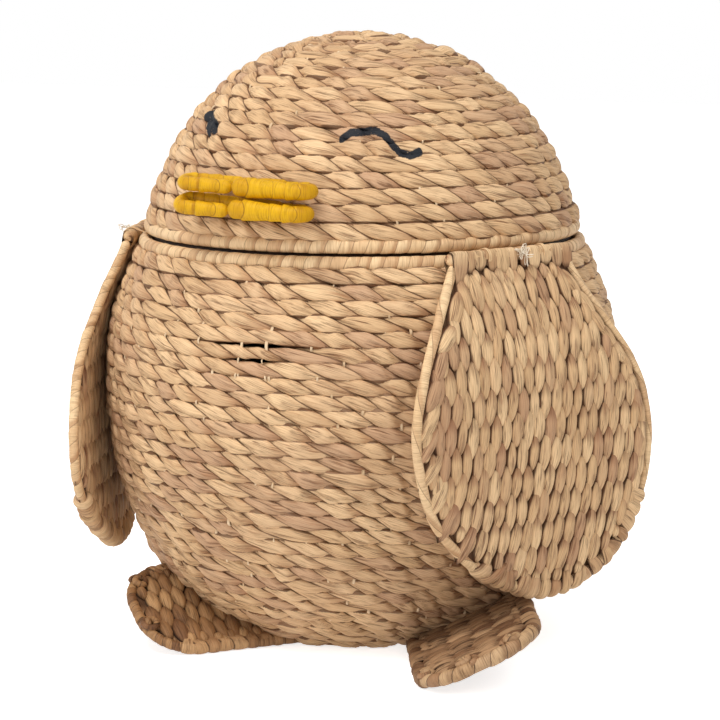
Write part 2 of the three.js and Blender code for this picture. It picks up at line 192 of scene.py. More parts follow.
@dataclass
class Draft:
    """Grids of points that become one mesh, each with the run of its fibres and the place of its leaves.

    Two UV maps go with it. "fibre" holds metres along and across the fibres. "place" holds the number of the
    leaf plus the share of the way along it, and the place across it from -1 to 1.
    """

    points: list[Array] = field(default_factory=list)
    quads: list[Array] = field(default_factory=list)
    fibre: list[Array] = field(default_factory=list)
    place: list[Array] = field(default_factory=list)
    count: int = 0

    def add(self, points: Array, fibre: Array, place: Array, ring: bool = False) -> None:
        """Adds a grid, whose faces look to the side that its columns cross its rows.

        Args:
            points: Rows and columns of points.
            fibre: Metres along and across the fibres at each.
            place: Leaf number and place across the leaf at each.
            ring: Whether the last row is the first one again.
        """
        rows, columns = points.shape[0] - 1, points.shape[1] - 1
        kept = points[: rows if ring else rows + 1]
        high, wide = kept.shape[:2]
        row, column = np.meshgrid(np.arange(rows), np.arange(columns), indexing="ij")
        corners = [(row, column), (row, column + 1), (row + 1, column + 1), (row + 1, column)]
        quads = np.stack([(r % high) * wide + c for r, c in corners], -1)
        self.points.append(kept.reshape(-1, 3))
        self.quads.append(quads.reshape(-1, 4) + self.count)
        for store, values in ((self.fibre, fibre), (self.place, place)):
            store.append(np.stack([values[r, c] for r, c in corners], -2).reshape(-1, 2))
        self.count += high * wide

    def mirror(self) -> None:
        """Turns everything so far to the other side of the bird."""
        for points in self.points:
            points[:, 0] *= -1
        self.quads = [quads[:, ::-1] for quads in self.quads]
        for store in (self.fibre, self.place):
            store[:] = [values.reshape(-1, 4, 2)[:, ::-1].reshape(-1, 2) for values in store]

    def build(self, name: str, material: Material) -> bpy.types.Object:
        """Makes the mesh object.

        Args:
            name: Name of the piece.
            material: Its only material.

        Returns:
            The new object, in the scene.
        """
        points, quads = np.concatenate(self.points), np.concatenate(self.quads)
        mesh = bpy.data.meshes.new(name)
        mesh.vertices.add(len(points))
        mesh.vertices.foreach_set("co", points.astype(np.float32).ravel())
        mesh.loops.add(quads.size)
        mesh.loops.foreach_set("vertex_index", quads.astype(np.int32).ravel())
        mesh.polygons.add(len(quads))
        mesh.polygons.foreach_set("loop_start", np.arange(0, quads.size, 4, dtype=np.int32))
        for layer, store in (("fibre", self.fibre), ("place", self.place)):
            uv = mesh.uv_layers.new(name=layer)
            uv.data.foreach_set("uv", np.concatenate(store).astype(np.float32).ravel())
        mesh.update(calc_edges=True)
        mesh.validate()
        mesh.shade_smooth()
        mesh.materials.append(material)
        piece = bpy.data.objects.new(name, mesh)
        bpy.context.scene.collection.objects.link(piece)
        return piece


def settle(piece: bpy.types.Object, body: str, slot: Slot, *nodes: str) -> None:
    """Puts a finished piece on its body and hides the solids that it replaces.

    Args:
        piece: The finished object.
        body: The body that it moves with.
        slot: The record's slot of its finish. Not used.
        nodes: The solids that it replaces.
    """
    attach(piece, body)
    if nodes:
        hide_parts(*nodes)
    log.info("%s on %s, %d faces", piece.name, body, len(piece.data.polygons))


class Nodes:
    """Adds and links the nodes of one shader tree."""

    def __init__(self, tree: Tree) -> None:
        """Keeps the tree."""
        self.tree = tree

    def add(self, kind: str, **settings: Any) -> Node:
        """Adds a node.

        Args:
            kind: Type of the node, without the word ShaderNode.
            settings: Properties of the node.

        Returns:
            The node.
        """
        node = self.tree.nodes.new("ShaderNode" + kind)
        for key, value in settings.items():
            setattr(node, key, value)
        return node

    def put(self, socket: Socket, value: Any) -> None:
        """Links a socket's value, or sets it where it is plain."""
        if isinstance(value, Socket):
            self.tree.links.new(value, socket)
        elif isinstance(value, tuple) and len(value) == 3 and socket.type == "RGBA":
            socket.default_value = (*value, 1.0)
        else:
            socket.default_value = value

    def feed(self, node: Node, **values: Any) -> Node:
        """Gives a node its inputs by name, with _ for a space, and hands the node back."""
        for key, value in values.items():
            self.put(node.inputs[key.replace("_", " ")], value)
        return node

    def math(self, operation: str, *values: Any, clamp: bool = False) -> Socket:
        """The result of a sum on one, two or three values."""
        node = self.add("Math", operation=operation, use_clamp=clamp)
        for socket, value in zip(node.inputs, values):
            self.put(socket, value)
        return node.outputs[0]

    def times(self, first: Any, second: Any) -> Socket:
        """The product of two values."""
        return self.math("MULTIPLY", first, second)

    def less(self, first: Any, second: Any) -> Socket:
        """The first value less the second."""
        return self.math("SUBTRACT", first, second)

    def step(self, value: Any, low: Any, high: Any) -> Socket:
        """A soft step from 0 to 1 as the value goes from low to high."""
        node = self.add("MapRange", interpolation_type="SMOOTHSTEP")
        return self.feed(node, Value=value, From_Min=low, From_Max=high).outputs[0]

    def mix(self, share: Any, first: Any, second: Any, blend: str = "MIX") -> Socket:
        """Two colours mixed by a share."""
        node = self.add("Mix", data_type="RGBA", blend_type=blend)
        colours = [socket for socket in node.inputs if socket.type == "RGBA"]
        self.put(node.inputs[0], share)
        self.put(colours[0], first)
        self.put(colours[1], second)
        return next(socket for socket in node.outputs if socket.type == "RGBA")

    def vector(self, x: Any, y: Any, z: Any) -> Socket:
        """A vector from three numbers."""
        node = self.add("CombineXYZ")
        for socket, value in zip(node.inputs, (x, y, z)):
            self.put(socket, value)
        return node.outputs[0]

    def split(self, vector: Any) -> tuple[Socket, ...]:
        """The three numbers of a vector."""
        node = self.add("SeparateXYZ")
        self.put(node.inputs[0], vector)
        return tuple(node.outputs)

    def noise(self, vector: Any, scale: float, detail: float = 2.0) -> Socket:
        """Smooth noise of about 0.5 over a vector."""
        return self.feed(self.add("TexNoise"), Vector=vector, Scale=scale, Detail=detail).outputs[0]

    def uv(self, name: str) -> tuple[Socket, Socket]:
        """The two numbers of a UV map."""
        return self.split(self.add("UVMap", uv_map=name).outputs[0])[:2]

    def seen_plainly(self) -> Socket:
        """1 where the camera looks, straight or in a reflection, and 0 for the light that falls on things."""
        rays = self.add("LightPath")
        return self.math("MAXIMUM", rays.outputs["Is Camera Ray"], rays.outputs["Is Glossy Ray"])

    def group(self, tree: Tree, **values: Any) -> Node:
        """Places a group, with its inputs given by name."""
        return self.feed(self.add("Group", node_tree=tree), **values)


def new_group(name: str, inputs: dict[str, Any], outputs: Sequence[str]) -> tuple[Nodes, Node, Node]:
    """Starts a shader node group.

    Args:
        name: Name of the group.
        inputs: Each input's name with its usual value, a number or a colour.
        outputs: Names of the outputs. "Color" is a colour and the others are numbers.

    Returns:
        The node helper of its tree, and its input and output nodes.
    """
    tree = bpy.data.node_groups.new(name, "ShaderNodeTree")
    for key, value in inputs.items():
        kind = "NodeSocketColor" if isinstance(value, tuple) else "NodeSocketFloat"
        socket = tree.interface.new_socket(key, in_out="INPUT", socket_type=kind)
        socket.default_value = (*value, 1.0) if isinstance(value, tuple) else value
    for key in outputs:
        kind = "NodeSocketColor" if key == "Color" else "NodeSocketFloat"
        tree.interface.new_socket(key, in_out="OUTPUT", socket_type=kind)
    return Nodes(tree), tree.nodes.new("NodeGroupInput"), tree.nodes.new("NodeGroupOutput")


class Effects:
    """Shader groups that several finishes share."""

    def __init__(self) -> None:
        """Builds every group once."""
        self.grain = self._grain()
        self.leaf = self._leaf()
        self.stain = self._stain()
        self.stroke = self._stroke()

    @staticmethod
    def _grain() -> Tree:
        """Folds and fibres that run along a strand, and the fine dark creases between them.

        A stretch is a noise's cells in a metre, and a cut is where a soft step begins and ends.
        """
        fold_stretch, fold_shift, fibre_stretch, fibre_detail = 20.0, 3.7, 70.0, 3.0
        break_stretch, break_cut, ridge_cut = (55.0, 240.0), (0.44, 0.58), (0.004, 0.036)
        fibre_height, crease_height = 0.4, -0.5
        nodes, given, made = new_group(
            "fibre_grain",
            {"Fold Width": 2.2 * MM, "Fibre Width": 0.5 * MM},
            ("Fibres", "Creases", "Height"),
        )
        along, across = nodes.uv("fibre")
        leaf = nodes.math("FLOOR", nodes.uv("place")[0])
        fold_way = nodes.math("DIVIDE", across, given.outputs["Fold Width"])
        where = nodes.vector(nodes.times(along, fold_stretch), fold_way, nodes.times(leaf, fold_shift))
        fold = nodes.noise(where, 1.0)
        fibre_way = nodes.math("DIVIDE", across, given.outputs["Fibre Width"])
        where = nodes.vector(nodes.times(along, fibre_stretch), fibre_way, leaf)
        fibre = nodes.noise(where, 1.0, fibre_detail)
        ridge = nodes.math("ABSOLUTE", nodes.less(fold, 0.5))
        crease = nodes.less(1.0, nodes.step(ridge, *ridge_cut))
        where = nodes.vector(nodes.times(along, break_stretch[0]), nodes.times(across, break_stretch[1]), leaf)
        crease = nodes.times(crease, nodes.step(nodes.noise(where, 1.0), *break_cut))
        height = nodes.math("MULTIPLY_ADD", fold, 1.0, nodes.times(fibre, fibre_height))
        height = nodes.math("MULTIPLY_ADD", crease, crease_height, height)
        nodes.feed(made, Fibres=fibre, Creases=crease, Height=height)
        return nodes.tree

    @staticmethod
    def _leaf() -> Tree:
        """The tint of one leaf of rope, with painted shade where it dips between its neighbours."""
        nodes, given, made = new_group(
            "leaf_tint",
            {
                "Pale": (0.7, 0.5, 0.3),
                "Middle": (0.55, 0.36, 0.2),
                "Rosy": (0.5, 0.3, 0.18),
                "Brown": (0.3, 0.15, 0.08),
                "Dark": (0.16, 0.08, 0.04),
                "Dip": 0.6,
                "Side From": 1.0,
                "Side To": 1.4,
                "End From": 0.8,
                "End Dip": 0.0,
            },
            ("Color",),
        )
        middle_cut, rosy_cut, tip_cut, brown_cut, brown_tip_and_shade = (0.1, 0.9), (0.66, 0.92), (0.54, 0.82), (0.2, 0.9), 0.55
        read = given.outputs
        along, across = nodes.uv("place")
        chance = nodes.add("TexWhiteNoise", noise_dimensions="1D")
        nodes.put(chance.inputs["W"], nodes.math("FLOOR", along))
        red, green, blue = nodes.split(chance.outputs["Color"])
        colour = nodes.mix(nodes.step(red, *middle_cut), read["Pale"], read["Middle"])
        colour = nodes.mix(nodes.step(green, *rosy_cut), colour, read["Rosy"])
        part = nodes.math("FRACT", along)
        # Partly the leaves' own brown tips and partly painted shade: some leaves turn brown towards their end.
        tip = nodes.times(nodes.step(part, *tip_cut), nodes.step(blue, *brown_cut))
        colour = nodes.mix(nodes.times(tip, brown_tip_and_shade), colour, read["Brown"])
        # Painted shade: the leaf darkens towards its dark tint at its sides and ends, where it dips under its
        # neighbours.
        end = nodes.math("ABSOLUTE", nodes.math("MULTIPLY_ADD", part, 2.0, -1.0))
        side = nodes.math("ABSOLUTE", across)
        low = nodes.times(nodes.step(end, read["End From"], 1.0), read["End Dip"])
        dip = nodes.math("MAXIMUM", low, nodes.step(side, read["Side From"], read["Side To"]))
        dip = nodes.times(dip, read["Dip"])
        nodes.feed(made, Color=nodes.mix(dip, colour, read["Dark"]))
        return nodes.tree

    @staticmethod
    def _stain() -> Tree:
        """Brown patches and small specks, as dried water plants have."""
        nodes, given, made = new_group("plant_stain", {"Amount": 0.5}, ("Patches", "Specks"))
        patch_stretch, patch_detail, patch_cut = (42.0, 230.0), 3.0, (0.57, 0.74)
        speck_scale, speck_shift, speck_cut = 520.0, 0.01, (0.14, 0.26)
        some_scale, some_cut = 7.0, (0.56, 0.62)
        along, across = nodes.uv("fibre")
        leaf = nodes.math("FLOOR", nodes.uv("place")[0])
        where = nodes.vector(nodes.times(along, patch_stretch[0]), nodes.times(across, patch_stretch[1]), leaf)
        patch = nodes.step(nodes.noise(where, 1.0, patch_detail), *patch_cut)
        spots = nodes.add("TexVoronoi", feature="F1")
        where = nodes.vector(along, across, nodes.times(leaf, speck_shift))
        nodes.feed(spots, Vector=where, Scale=speck_scale)
        speck = nodes.less(1.0, nodes.step(spots.outputs["Distance"], *speck_cut))
        some = nodes.step(nodes.noise(nodes.vector(leaf, along, 0.0), some_scale), *some_cut)
        nodes.feed(made, Patches=nodes.times(patch, given.outputs["Amount"]), Specks=nodes.times(speck, some))
        return nodes.tree

    @staticmethod
    def _stroke() -> Tree:
        """Distance from a flat point to one straight run of a brush, carried on from the run before."""
        nodes, given, made = new_group(
            "brush_run",
            {"X": 0.0, "Z": 0.0, "From X": 0.0, "From Z": 0.0, "To X": 1.0, "To Z": 0.0, "Before": 1.0},
            ("Distance",),
        )
        read = given.outputs
        run_x = nodes.less(read["To X"], read["From X"])
        run_z = nodes.less(read["To Z"], read["From Z"])
        far_x = nodes.less(read["X"], read["From X"])
        far_z = nodes.less(read["Z"], read["From Z"])
        dot = nodes.math("MULTIPLY_ADD", far_x, run_x, nodes.times(far_z, run_z))
        size = nodes.math("MULTIPLY_ADD", run_x, run_x, nodes.times(run_z, run_z))
        share = nodes.math("DIVIDE", dot, size, clamp=True)
        off_x = nodes.less(far_x, nodes.times(run_x, share))
        off_z = nodes.less(far_z, nodes.times(run_z, share))
        square = nodes.math("MULTIPLY_ADD", off_x, off_x, nodes.times(off_z, off_z))
        nodes.feed(made, Distance=nodes.math("MINIMUM", nodes.math("SQRT", square), read["Before"]))
        return nodes.tree


def start_material(name: str, roughness: float) -> tuple[Material, Nodes, Node]:
    """Starts a material with a plain shader.

    Args:
        name: Name of the material.
        roughness: Its usual roughness.

    Returns:
        The material, its node helper and its shader.
    """
    material = bpy.data.materials.new(name)
    material.use_nodes = True
    nodes = Nodes(material.node_tree)
    shader = next(node for node in material.node_tree.nodes if node.type == "BSDF_PRINCIPLED")
    shader.inputs["Roughness"].default_value = roughness
    return material, nodes, shader


@dataclass(frozen=True)
class Palette:
    """The tints of one lot of strips, as seen on a screen."""

    pale: Tint
    middle: Tint
    rosy: Tint
    brown: Tint
    dark: Tint

    def linear(self) -> dict[str, Colour]:
        """The tints as a shader takes them, under the names that the leaf group has for them."""
        return {name.title(): from_screen(*tint) for name, tint in vars(self).items()}


ROPE_TINTS = Palette((231, 194, 149), (214, 176, 132), (198, 159, 124), (150, 98, 62), (66, 36, 17))
WEAVE_TINTS = Palette((230, 194, 148), (211, 173, 129), (190, 150, 114), (132, 84, 58), (54, 29, 15))
FOLD_TINTS = Palette((228, 192, 147), (214, 177, 132), (200, 161, 120), (140, 90, 60), (56, 30, 15))
STRIP_TINTS = Palette((236, 203, 158), (226, 190, 144), (212, 173, 130), (160, 110, 72), (84, 50, 28))
# Painted shade: the far foot's strips are darker than the body's, as the belly's shadow on it.
FOOT_TINTS = Palette((182, 140, 96), (148, 108, 71), (124, 87, 58), (80, 49, 28), (20, 9, 4))
YELLOW_TINTS = Palette((217, 166, 9), (212, 160, 7), (204, 151, 6), (168, 110, 6), (92, 50, 4))
# Painted shade: the near foot's strips are darker than the body's, as the shade under the belly.
NEAR_FOOT_TINTS = Palette((176, 138, 101), (144, 108, 76), (115, 81, 55), (78, 48, 29), (20, 10, 4))
# Painted shade: the seat ring's strip, seen only in the slit under the lid's rim, is dark as that slit in shadow
# instead of its own colour.
SHADE_TINTS = Palette((58, 40, 26), (52, 36, 23), (46, 32, 20), (36, 24, 15), (22, 14, 9))
THREAD_TINTS = Palette((240, 230, 212), (232, 218, 196), (224, 206, 180), (204, 178, 144), (150, 120, 90))
# Painted shade: the sheet behind the leaves is darker than them, as the gaps between leaves in shadow.
CORE_TINTS = Palette((168, 128, 90), (156, 118, 82), (142, 106, 74), (108, 74, 48), (60, 36, 20))
# Painted shade: the near foot's toe strip is a little darker than the body's strips, as the shade under the belly.
TOE_TINTS = Palette((204, 170, 130), (178, 142, 104), (156, 118, 86), (110, 74, 46), (34, 18, 8))
# Painted shade: the far foot's folded sides are darker than the body's strips, as the belly's shadow on them.
RIM_TINTS = Palette((200, 160, 116), (182, 142, 100), (166, 126, 88), (118, 78, 48), (36, 18, 8))
STITCH_TINTS = Palette((232, 206, 170), (224, 196, 158), (214, 184, 146), (190, 152, 112), (120, 84, 56))


@dataclass(frozen=True)
class FibreFinish:
    """Dried strips of water hyacinth, in leaves of slightly different tints.

    The dip is the painted shade of a leaf where it sinks in, from and to the given places at its sides and ends.
    Stains, creases, streaks and specks are strengths, and a cut is where a soft step begins and ends.
    """

    name: str
    tints: Palette = ROPE_TINTS
    dip: float = 0.88
    side_from: float = 0.93
    side_to: float = 1.04
    end_from: float = 0.8
    end_dip: float = 0.0
    stains: float = 0.55
    creases: float = 0.68
    fold_width: float = 1.3 * MM
    fibre_width: float = 0.55 * MM
    relief: float = 0.7 * MM
    roughness: float = 0.62
    broad: float = 0.0
    broad_scale: float = 13.0
    broad_cut: Pair = (0.48, 0.66)
    streaks: float = 0.44
    streak_cut: Pair = (0.42, 0.7)
    specks: float = 0.7
    crease_mix: Pair = (0.55, 0.45)
    uneven_roughness: float = 0.3
    specular: float = 0.25

    def make(self, effects: Effects) -> Material:
        """Builds the material.

        Args:
            effects: The shared shader groups.

        Returns:
            The material.
        """
        material, nodes, shader = start_material(self.name, self.roughness)
        colour, height, rough = self.surface(nodes, effects)
        bump = nodes.feed(nodes.add("Bump"), Height=height, Distance=self.relief)
        nodes.feed(shader, Base_Color=colour, Roughness=rough, Normal=bump.outputs[0])
        nodes.feed(shader, Specular_IOR_Level=self.specular)
        return material

    def surface(self, nodes: Nodes, effects: Effects) -> tuple[Socket, ...]:
        """The strips' own colour, height and roughness."""
        tints = self.tints.linear()
        brown, dark = tints["Brown"], tints["Dark"]
        grain = nodes.group(effects.grain, Fold_Width=self.fold_width, Fibre_Width=self.fibre_width)
        dips = {"Dip": self.dip, "Side_From": self.side_from, "Side_To": self.side_to}
        leaf = nodes.group(effects.leaf, **tints, **dips, End_From=self.end_from, End_Dip=self.end_dip)
        stain = nodes.group(effects.stain, Amount=self.stains)
        where = nodes.add("TexCoord").outputs["Object"]
        shade = nodes.times(nodes.step(nodes.noise(where, self.broad_scale, 1.0), *self.broad_cut), self.broad)
        colour = nodes.mix(shade, leaf.outputs["Color"], tints["Rosy"])
        colour = nodes.mix(stain.outputs["Patches"], colour, brown)
        streak = nodes.step(grain.outputs["Fibres"], *self.streak_cut)
        colour = nodes.mix(nodes.times(streak, self.streaks), colour, brown)
        line = tuple(self.crease_mix[0] * a + self.crease_mix[1] * b for a, b in zip(brown, dark))
        colour = nodes.mix(nodes.times(grain.outputs["Creases"], self.creases), colour, line)
        colour = nodes.mix(nodes.times(stain.outputs["Specks"], self.specks), colour, dark)
        uneven = self.uneven_roughness
        rough = nodes.math("MULTIPLY_ADD", grain.outputs["Fibres"], uneven, self.roughness - uneven / 2)
        return colour, grain.outputs["Height"], rough


@dataclass(frozen=True)
class PaintedFibreFinish(FibreFinish):
    """The same strips with brushed lines of matt paint on them."""

    paint: Colour = from_screen(30, 32, 37)
    girth: float = 148 * MM
    half_width: float = 2.65 * MM
    soft_edge: Pair = (0.4 * MM, 0.3 * MM)
    shake: float = 2.2 * MM
    shake_scale: float = 420.0
    dry_scale: float = 900.0
    dry_cut: Pair = (0.24, 0.34)
    lines: tuple[Pairs, ...] = ()

    def surface(self, nodes: Nodes, effects: Effects) -> tuple[Socket, ...]:
        """The strips' colour with the paint on it, their height and their roughness."""
        colour, height, rough = super().surface(nodes, effects)
        x, y, z = nodes.split(nodes.add("TexCoord").outputs["Object"])
        turn = nodes.math("ARCTAN2", x, nodes.times(y, -1.0))
        shake = nodes.noise(nodes.vector(x, y, z), self.shake_scale, 3.0)
        shake = nodes.math("MULTIPLY_ADD", shake, self.shake, -self.shake / 2)
        flat_x = nodes.math("MULTIPLY_ADD", turn, self.girth, shake)
        distance: Any = 1.0
        for line in self.lines:
            for (from_turn, from_z), (to_turn, to_z) in zip(line, line[1:]):
                run = nodes.group(
                    effects.stroke,
                    X=flat_x,
                    Z=nodes.math("ADD", z, shake),
                    From_X=math.radians(from_turn) * self.girth,
                    From_Z=from_z * MM,
                    To_X=math.radians(to_turn) * self.girth,
                    To_Z=to_z * MM,
                    Before=distance,
                )
                distance = run.outputs["Distance"]
        inner, outer = self.half_width - self.soft_edge[0], self.half_width + self.soft_edge[1]
        mask = nodes.less(1.0, nodes.step(distance, inner, outer))
        dry = nodes.step(nodes.noise(nodes.vector(x, y, z), self.dry_scale), *self.dry_cut)
        mask = nodes.times(mask, nodes.math("MAXIMUM", dry, nodes.step(distance, self.half_width, 0.0)))
        return nodes.mix(mask, colour, self.paint), height, rough


@dataclass(frozen=True)
class WireFinish:
    """Dark lacquer on iron wire, rubbed a little."""

    name: str = "lacquered_wire"
    lacquer: Colour = from_screen(52, 48, 44)
    bare: Colour = from_screen(120, 104, 92)
    roughness: float = 0.45
    worn_scale: float = 260.0
    worn_cut: Pair = (0.58, 0.66)
    bare_metal: float = 0.8
    pit_scale: float = 700.0
    pit_depth: float = 0.1 * MM

    def make(self) -> Material:
        """Builds the material."""
        material, nodes, shader = start_material(self.name, self.roughness)
        where = nodes.add("TexCoord").outputs["Object"]
        worn = nodes.step(nodes.noise(where, self.worn_scale, 4.0), *self.worn_cut)
        bump = nodes.feed(nodes.add("Bump"), Height=nodes.noise(where, self.pit_scale), Distance=self.pit_depth)
        colour, metal = nodes.mix(worn, self.lacquer, self.bare), nodes.times(worn, self.bare_metal)
        nodes.feed(shader, Base_Color=colour, Metallic=metal, Normal=bump.outputs[0])
        return material


@dataclass(frozen=True)
class StudioFinish:
    """White paper floor that shows white to the camera and keeps the basket's shadow."""

    name: str = "studio_floor"
    paper: Colour = (0.9, 0.9, 0.9)
    light: Colour = (1.0, 1.0, 1.0)
    roughness: float = 0.9
    glow: float = 0.1
    white: float = 0.72

    def make(self) -> Material:
        """Builds the material."""
        material, nodes, shader = start_material(self.name, self.roughness)
        strength = nodes.math("MULTIPLY_ADD", nodes.seen_plainly(), self.white - self.glow, self.glow)
        nodes.feed(shader, Base_Color=self.paper, Emission_Color=self.light, Emission_Strength=strength)
        return material


@dataclass(frozen=True)
class RowSeat:
    """Where one ring of rope lies: its centre in (radius, height), and the ways across and outward."""

    centre: Array
    rising: Array
    outward: Array

    @property
    def radius(self) -> float:
        """Radius of the ring."""
        return float(self.centre[0])

    def moved(self, outward: float, up: float) -> "RowSeat":
        """The same seat, moved outward and up its wall."""
        return RowSeat(self.centre + outward * self.outward + up * self.rising, self.rising, self.outward)


@dataclass(frozen=True)
class Parting:
    """A place where a row of rope stands a little away from the row below it.

    The bearing and the spread are in degrees.
    """

    row: int
    bearing: float
    spread: float
    opening: float

    def shift(self, row: int, bearing: Array) -> Array:
        """How far a row's middle moves up its wall, at each bearing."""
        if row not in (self.row, self.row - 1):
            return 0 * bearing
        away = (np.degrees(bearing) - self.bearing + 180) % 360 - 180
        return (1 if row == self.row else -1) * self.opening / 2 * np.exp(-((away / self.spread) ** 2))


@dataclass(frozen=True)
class TwistedRope:
    """Rope of two flattened strands, laid in closed rings.

    The first fields give the rope's size, the next ones the section and twist of a strand, and the last ones its
    unevenness and the look of its leaves, which are the parts of the strands that show.
    """

    pitch: float = 10.95 * MM
    overlap: float = 1.45 * MM
    half_depth: float = 5.05 * MM
    lay: float = 46.5 * MM
    steps: int = 24
    sides: int = 16
    reach: float = 0.38
    thick: float = 0.62
    wide: float = 0.89
    notch: float = 0.32
    square: float = 0.78
    dwell: float = 0.17
    uneven_lay: float = 0.05
    drift: float = 0.7
    drift_waves: int = 14
    sway: float = 0.35 * MM
    sway_waves: int = 5
    plump: float = 0.1
    lift: float = 0.45 * MM
    shingle: float = 1.0 * MM
    droop: float = 0.06
    tilt: float = 0.27
    leaf_reach: float = 20 * MM
    converge: float = 0.62
    seen_angle: float = math.radians(118)
    partings: tuple[Parting, ...] = ()

    def ring(self, draft: Draft, seat: RowSeat, rng: Rng, number: int) -> None:
        """Lays one ring of rope.

        Args:
            draft: Takes the mesh.
            seat: Where the ring lies.
            rng: Source of its unevenness.
            number: Number of the row, which sets its leaves apart from those of other rows.
        """
        turns = max(1, round(math.tau * seat.radius / self.lay * (1 + self.uneven_lay * rng.normal())))
        count = turns * self.steps
        share = np.arange(count + 1) / count
        bearing = math.pi + math.tau * share
        rise, out = (self.sway * wobble(rng, bearing, self.sway_waves) for _ in range(2))
        shifts = [parting.shift(number, bearing) for parting in self.partings]
        parted = sum(shifts, 0 * bearing)
        height = self.pitch / 2 + self.overlap - sum((np.abs(shift) for shift in shifts), 0 * bearing)
        start = rng.uniform(0, math.tau) + self.drift * wobble(rng, bearing, self.drift_waves)
        around = full_turn(self.sides)
        section = [np.sign(wave(around)) * np.abs(wave(around)) ** self.square for wave in (np.cos, np.sin)]
        for strand in range(2):
            even = math.tau * turns * share + math.pi * strand + start
            turn = even + self.dwell * np.sin(2 * even)
            passed = turn / math.tau + 0.25
            front = np.clip(np.sin(turn), 0, 1)
            leaf = np.floor(passed)
            own = [table[leaf.astype(int) % turns] * front for table in rng.normal(0, 1, (3, turns))]
            fat = 1 + self.plump * own[0][:, None]
            cosine, sine = np.cos(turn)[:, None], np.sin(turn)[:, None]
            radial = self.reach + self.thick * section[0][None, :] * fat
            sideways = self.wide * section[1][None, :] * fat * (1 - self.notch * cosine**2)
            up = (radial * cosine - sideways * sine) * height[:, None]
            depth = (radial * sine + sideways * cosine) * self.half_depth
            along = (even - math.tau * leaf - math.pi / 2) * seat.radius / turns
            shingle = self.shingle * front * np.clip(along / self.leaf_reach, -1, 1)
            depth += (out + self.lift * own[1] + shingle)[:, None]
            across = up * math.cos(self.tilt) + along[:, None] * math.sin(self.tilt)
            taper = 1 - self.converge * np.minimum(1, np.abs(along) / self.leaf_reach)[:, None] ** 2
            fibre = pair(along[:, None], across / taper)
            up = up + (rise + parted - self.droop * along * front * (1 + 0.5 * own[2]))[:, None]
            flat = seat.centre + up[..., None] * seat.rising + depth[..., None] * seat.outward
            points = about_axis(flat[..., 0], flat[..., 1], bearing[:, None])
            # Past 1, this place across the leaf brings on painted shade where the strand turns out of sight or nears
            # the next row.
            hidden = np.abs(around)[None, :] / self.seen_angle
            edge = np.maximum(hidden, np.abs(up - parted[:, None]) / (self.pitch / 2))
            place = pair((passed + LEAVES_IN_ROW * number + LEAVES_IN_STRAND * strand)[:, None], edge)
            draft.add(points, fibre, place, ring=True)


@dataclass(frozen=True)
class Stitches:
    """Short thread stitches that hold each row of rope to the next one."""

    pitch: float = 24.5 * MM
    share_seen: float = 0.4
    half_length: float = 2.7 * MM
    half_width: float = 0.9 * MM
    thick: float = 0.5 * MM
    sunk: float = 1.7 * MM
    dive: float = 1.7 * MM
    slant: float = 0.25 * MM
    stray: float = 0.2
    uneven: float = 0.18
    steps: int = 5
    sides: int = 8

    def row(self, draft: Draft, seat: RowSeat, rng: Rng) -> None:
        """Sews one ring of stitches over the groove between two rows.

        Args:
            draft: Takes the mesh.
            seat: The groove, at the depth of the rows' crests.
            rng: Source of their places.
        """
        count = round(math.tau * seat.radius / self.pitch)
        for stitch in range(count):
            if rng.random() < self.share_seen:
                bearing = math.pi + math.tau * (stitch + self.stray * rng.normal()) / count
                self.sew(draft, seat, bearing, rng, stitch)

    def sew(self, draft: Draft, seat: RowSeat, bearing: float, rng: Rng, number: int) -> None:
        """Sews one stitch.

        Args:
            draft: Takes the mesh.
            seat: The groove that it crosses.
            bearing: Where it stands.
            rng: Source of its size and slant.
            number: Number of the stitch.
        """
        along = np.linspace(-1, 1, self.steps + 1)[:, None]
        around = full_turn(self.sides)[None, :]
        out, round_way = bearing_axes(bearing)
        size = 1 + self.uneven * rng.normal()
        rise = self.half_length * along * size + 0 * around
        depth = -self.sunk - self.dive * along**2 + self.thick * np.cos(around)
        sideways = self.half_width * size * np.sin(around) + self.slant * rng.normal() * along
        flat = seat.centre + rise[..., None] * seat.rising + depth[..., None] * seat.outward
        points = flat[..., :1] * out + flat[..., 1:] * UP + sideways[..., None] * round_way
        fibre = pair(rise, self.half_width * around)
        draft.add(points, fibre, pair(number + 0.5 + 0.4 * along, 0 * around))


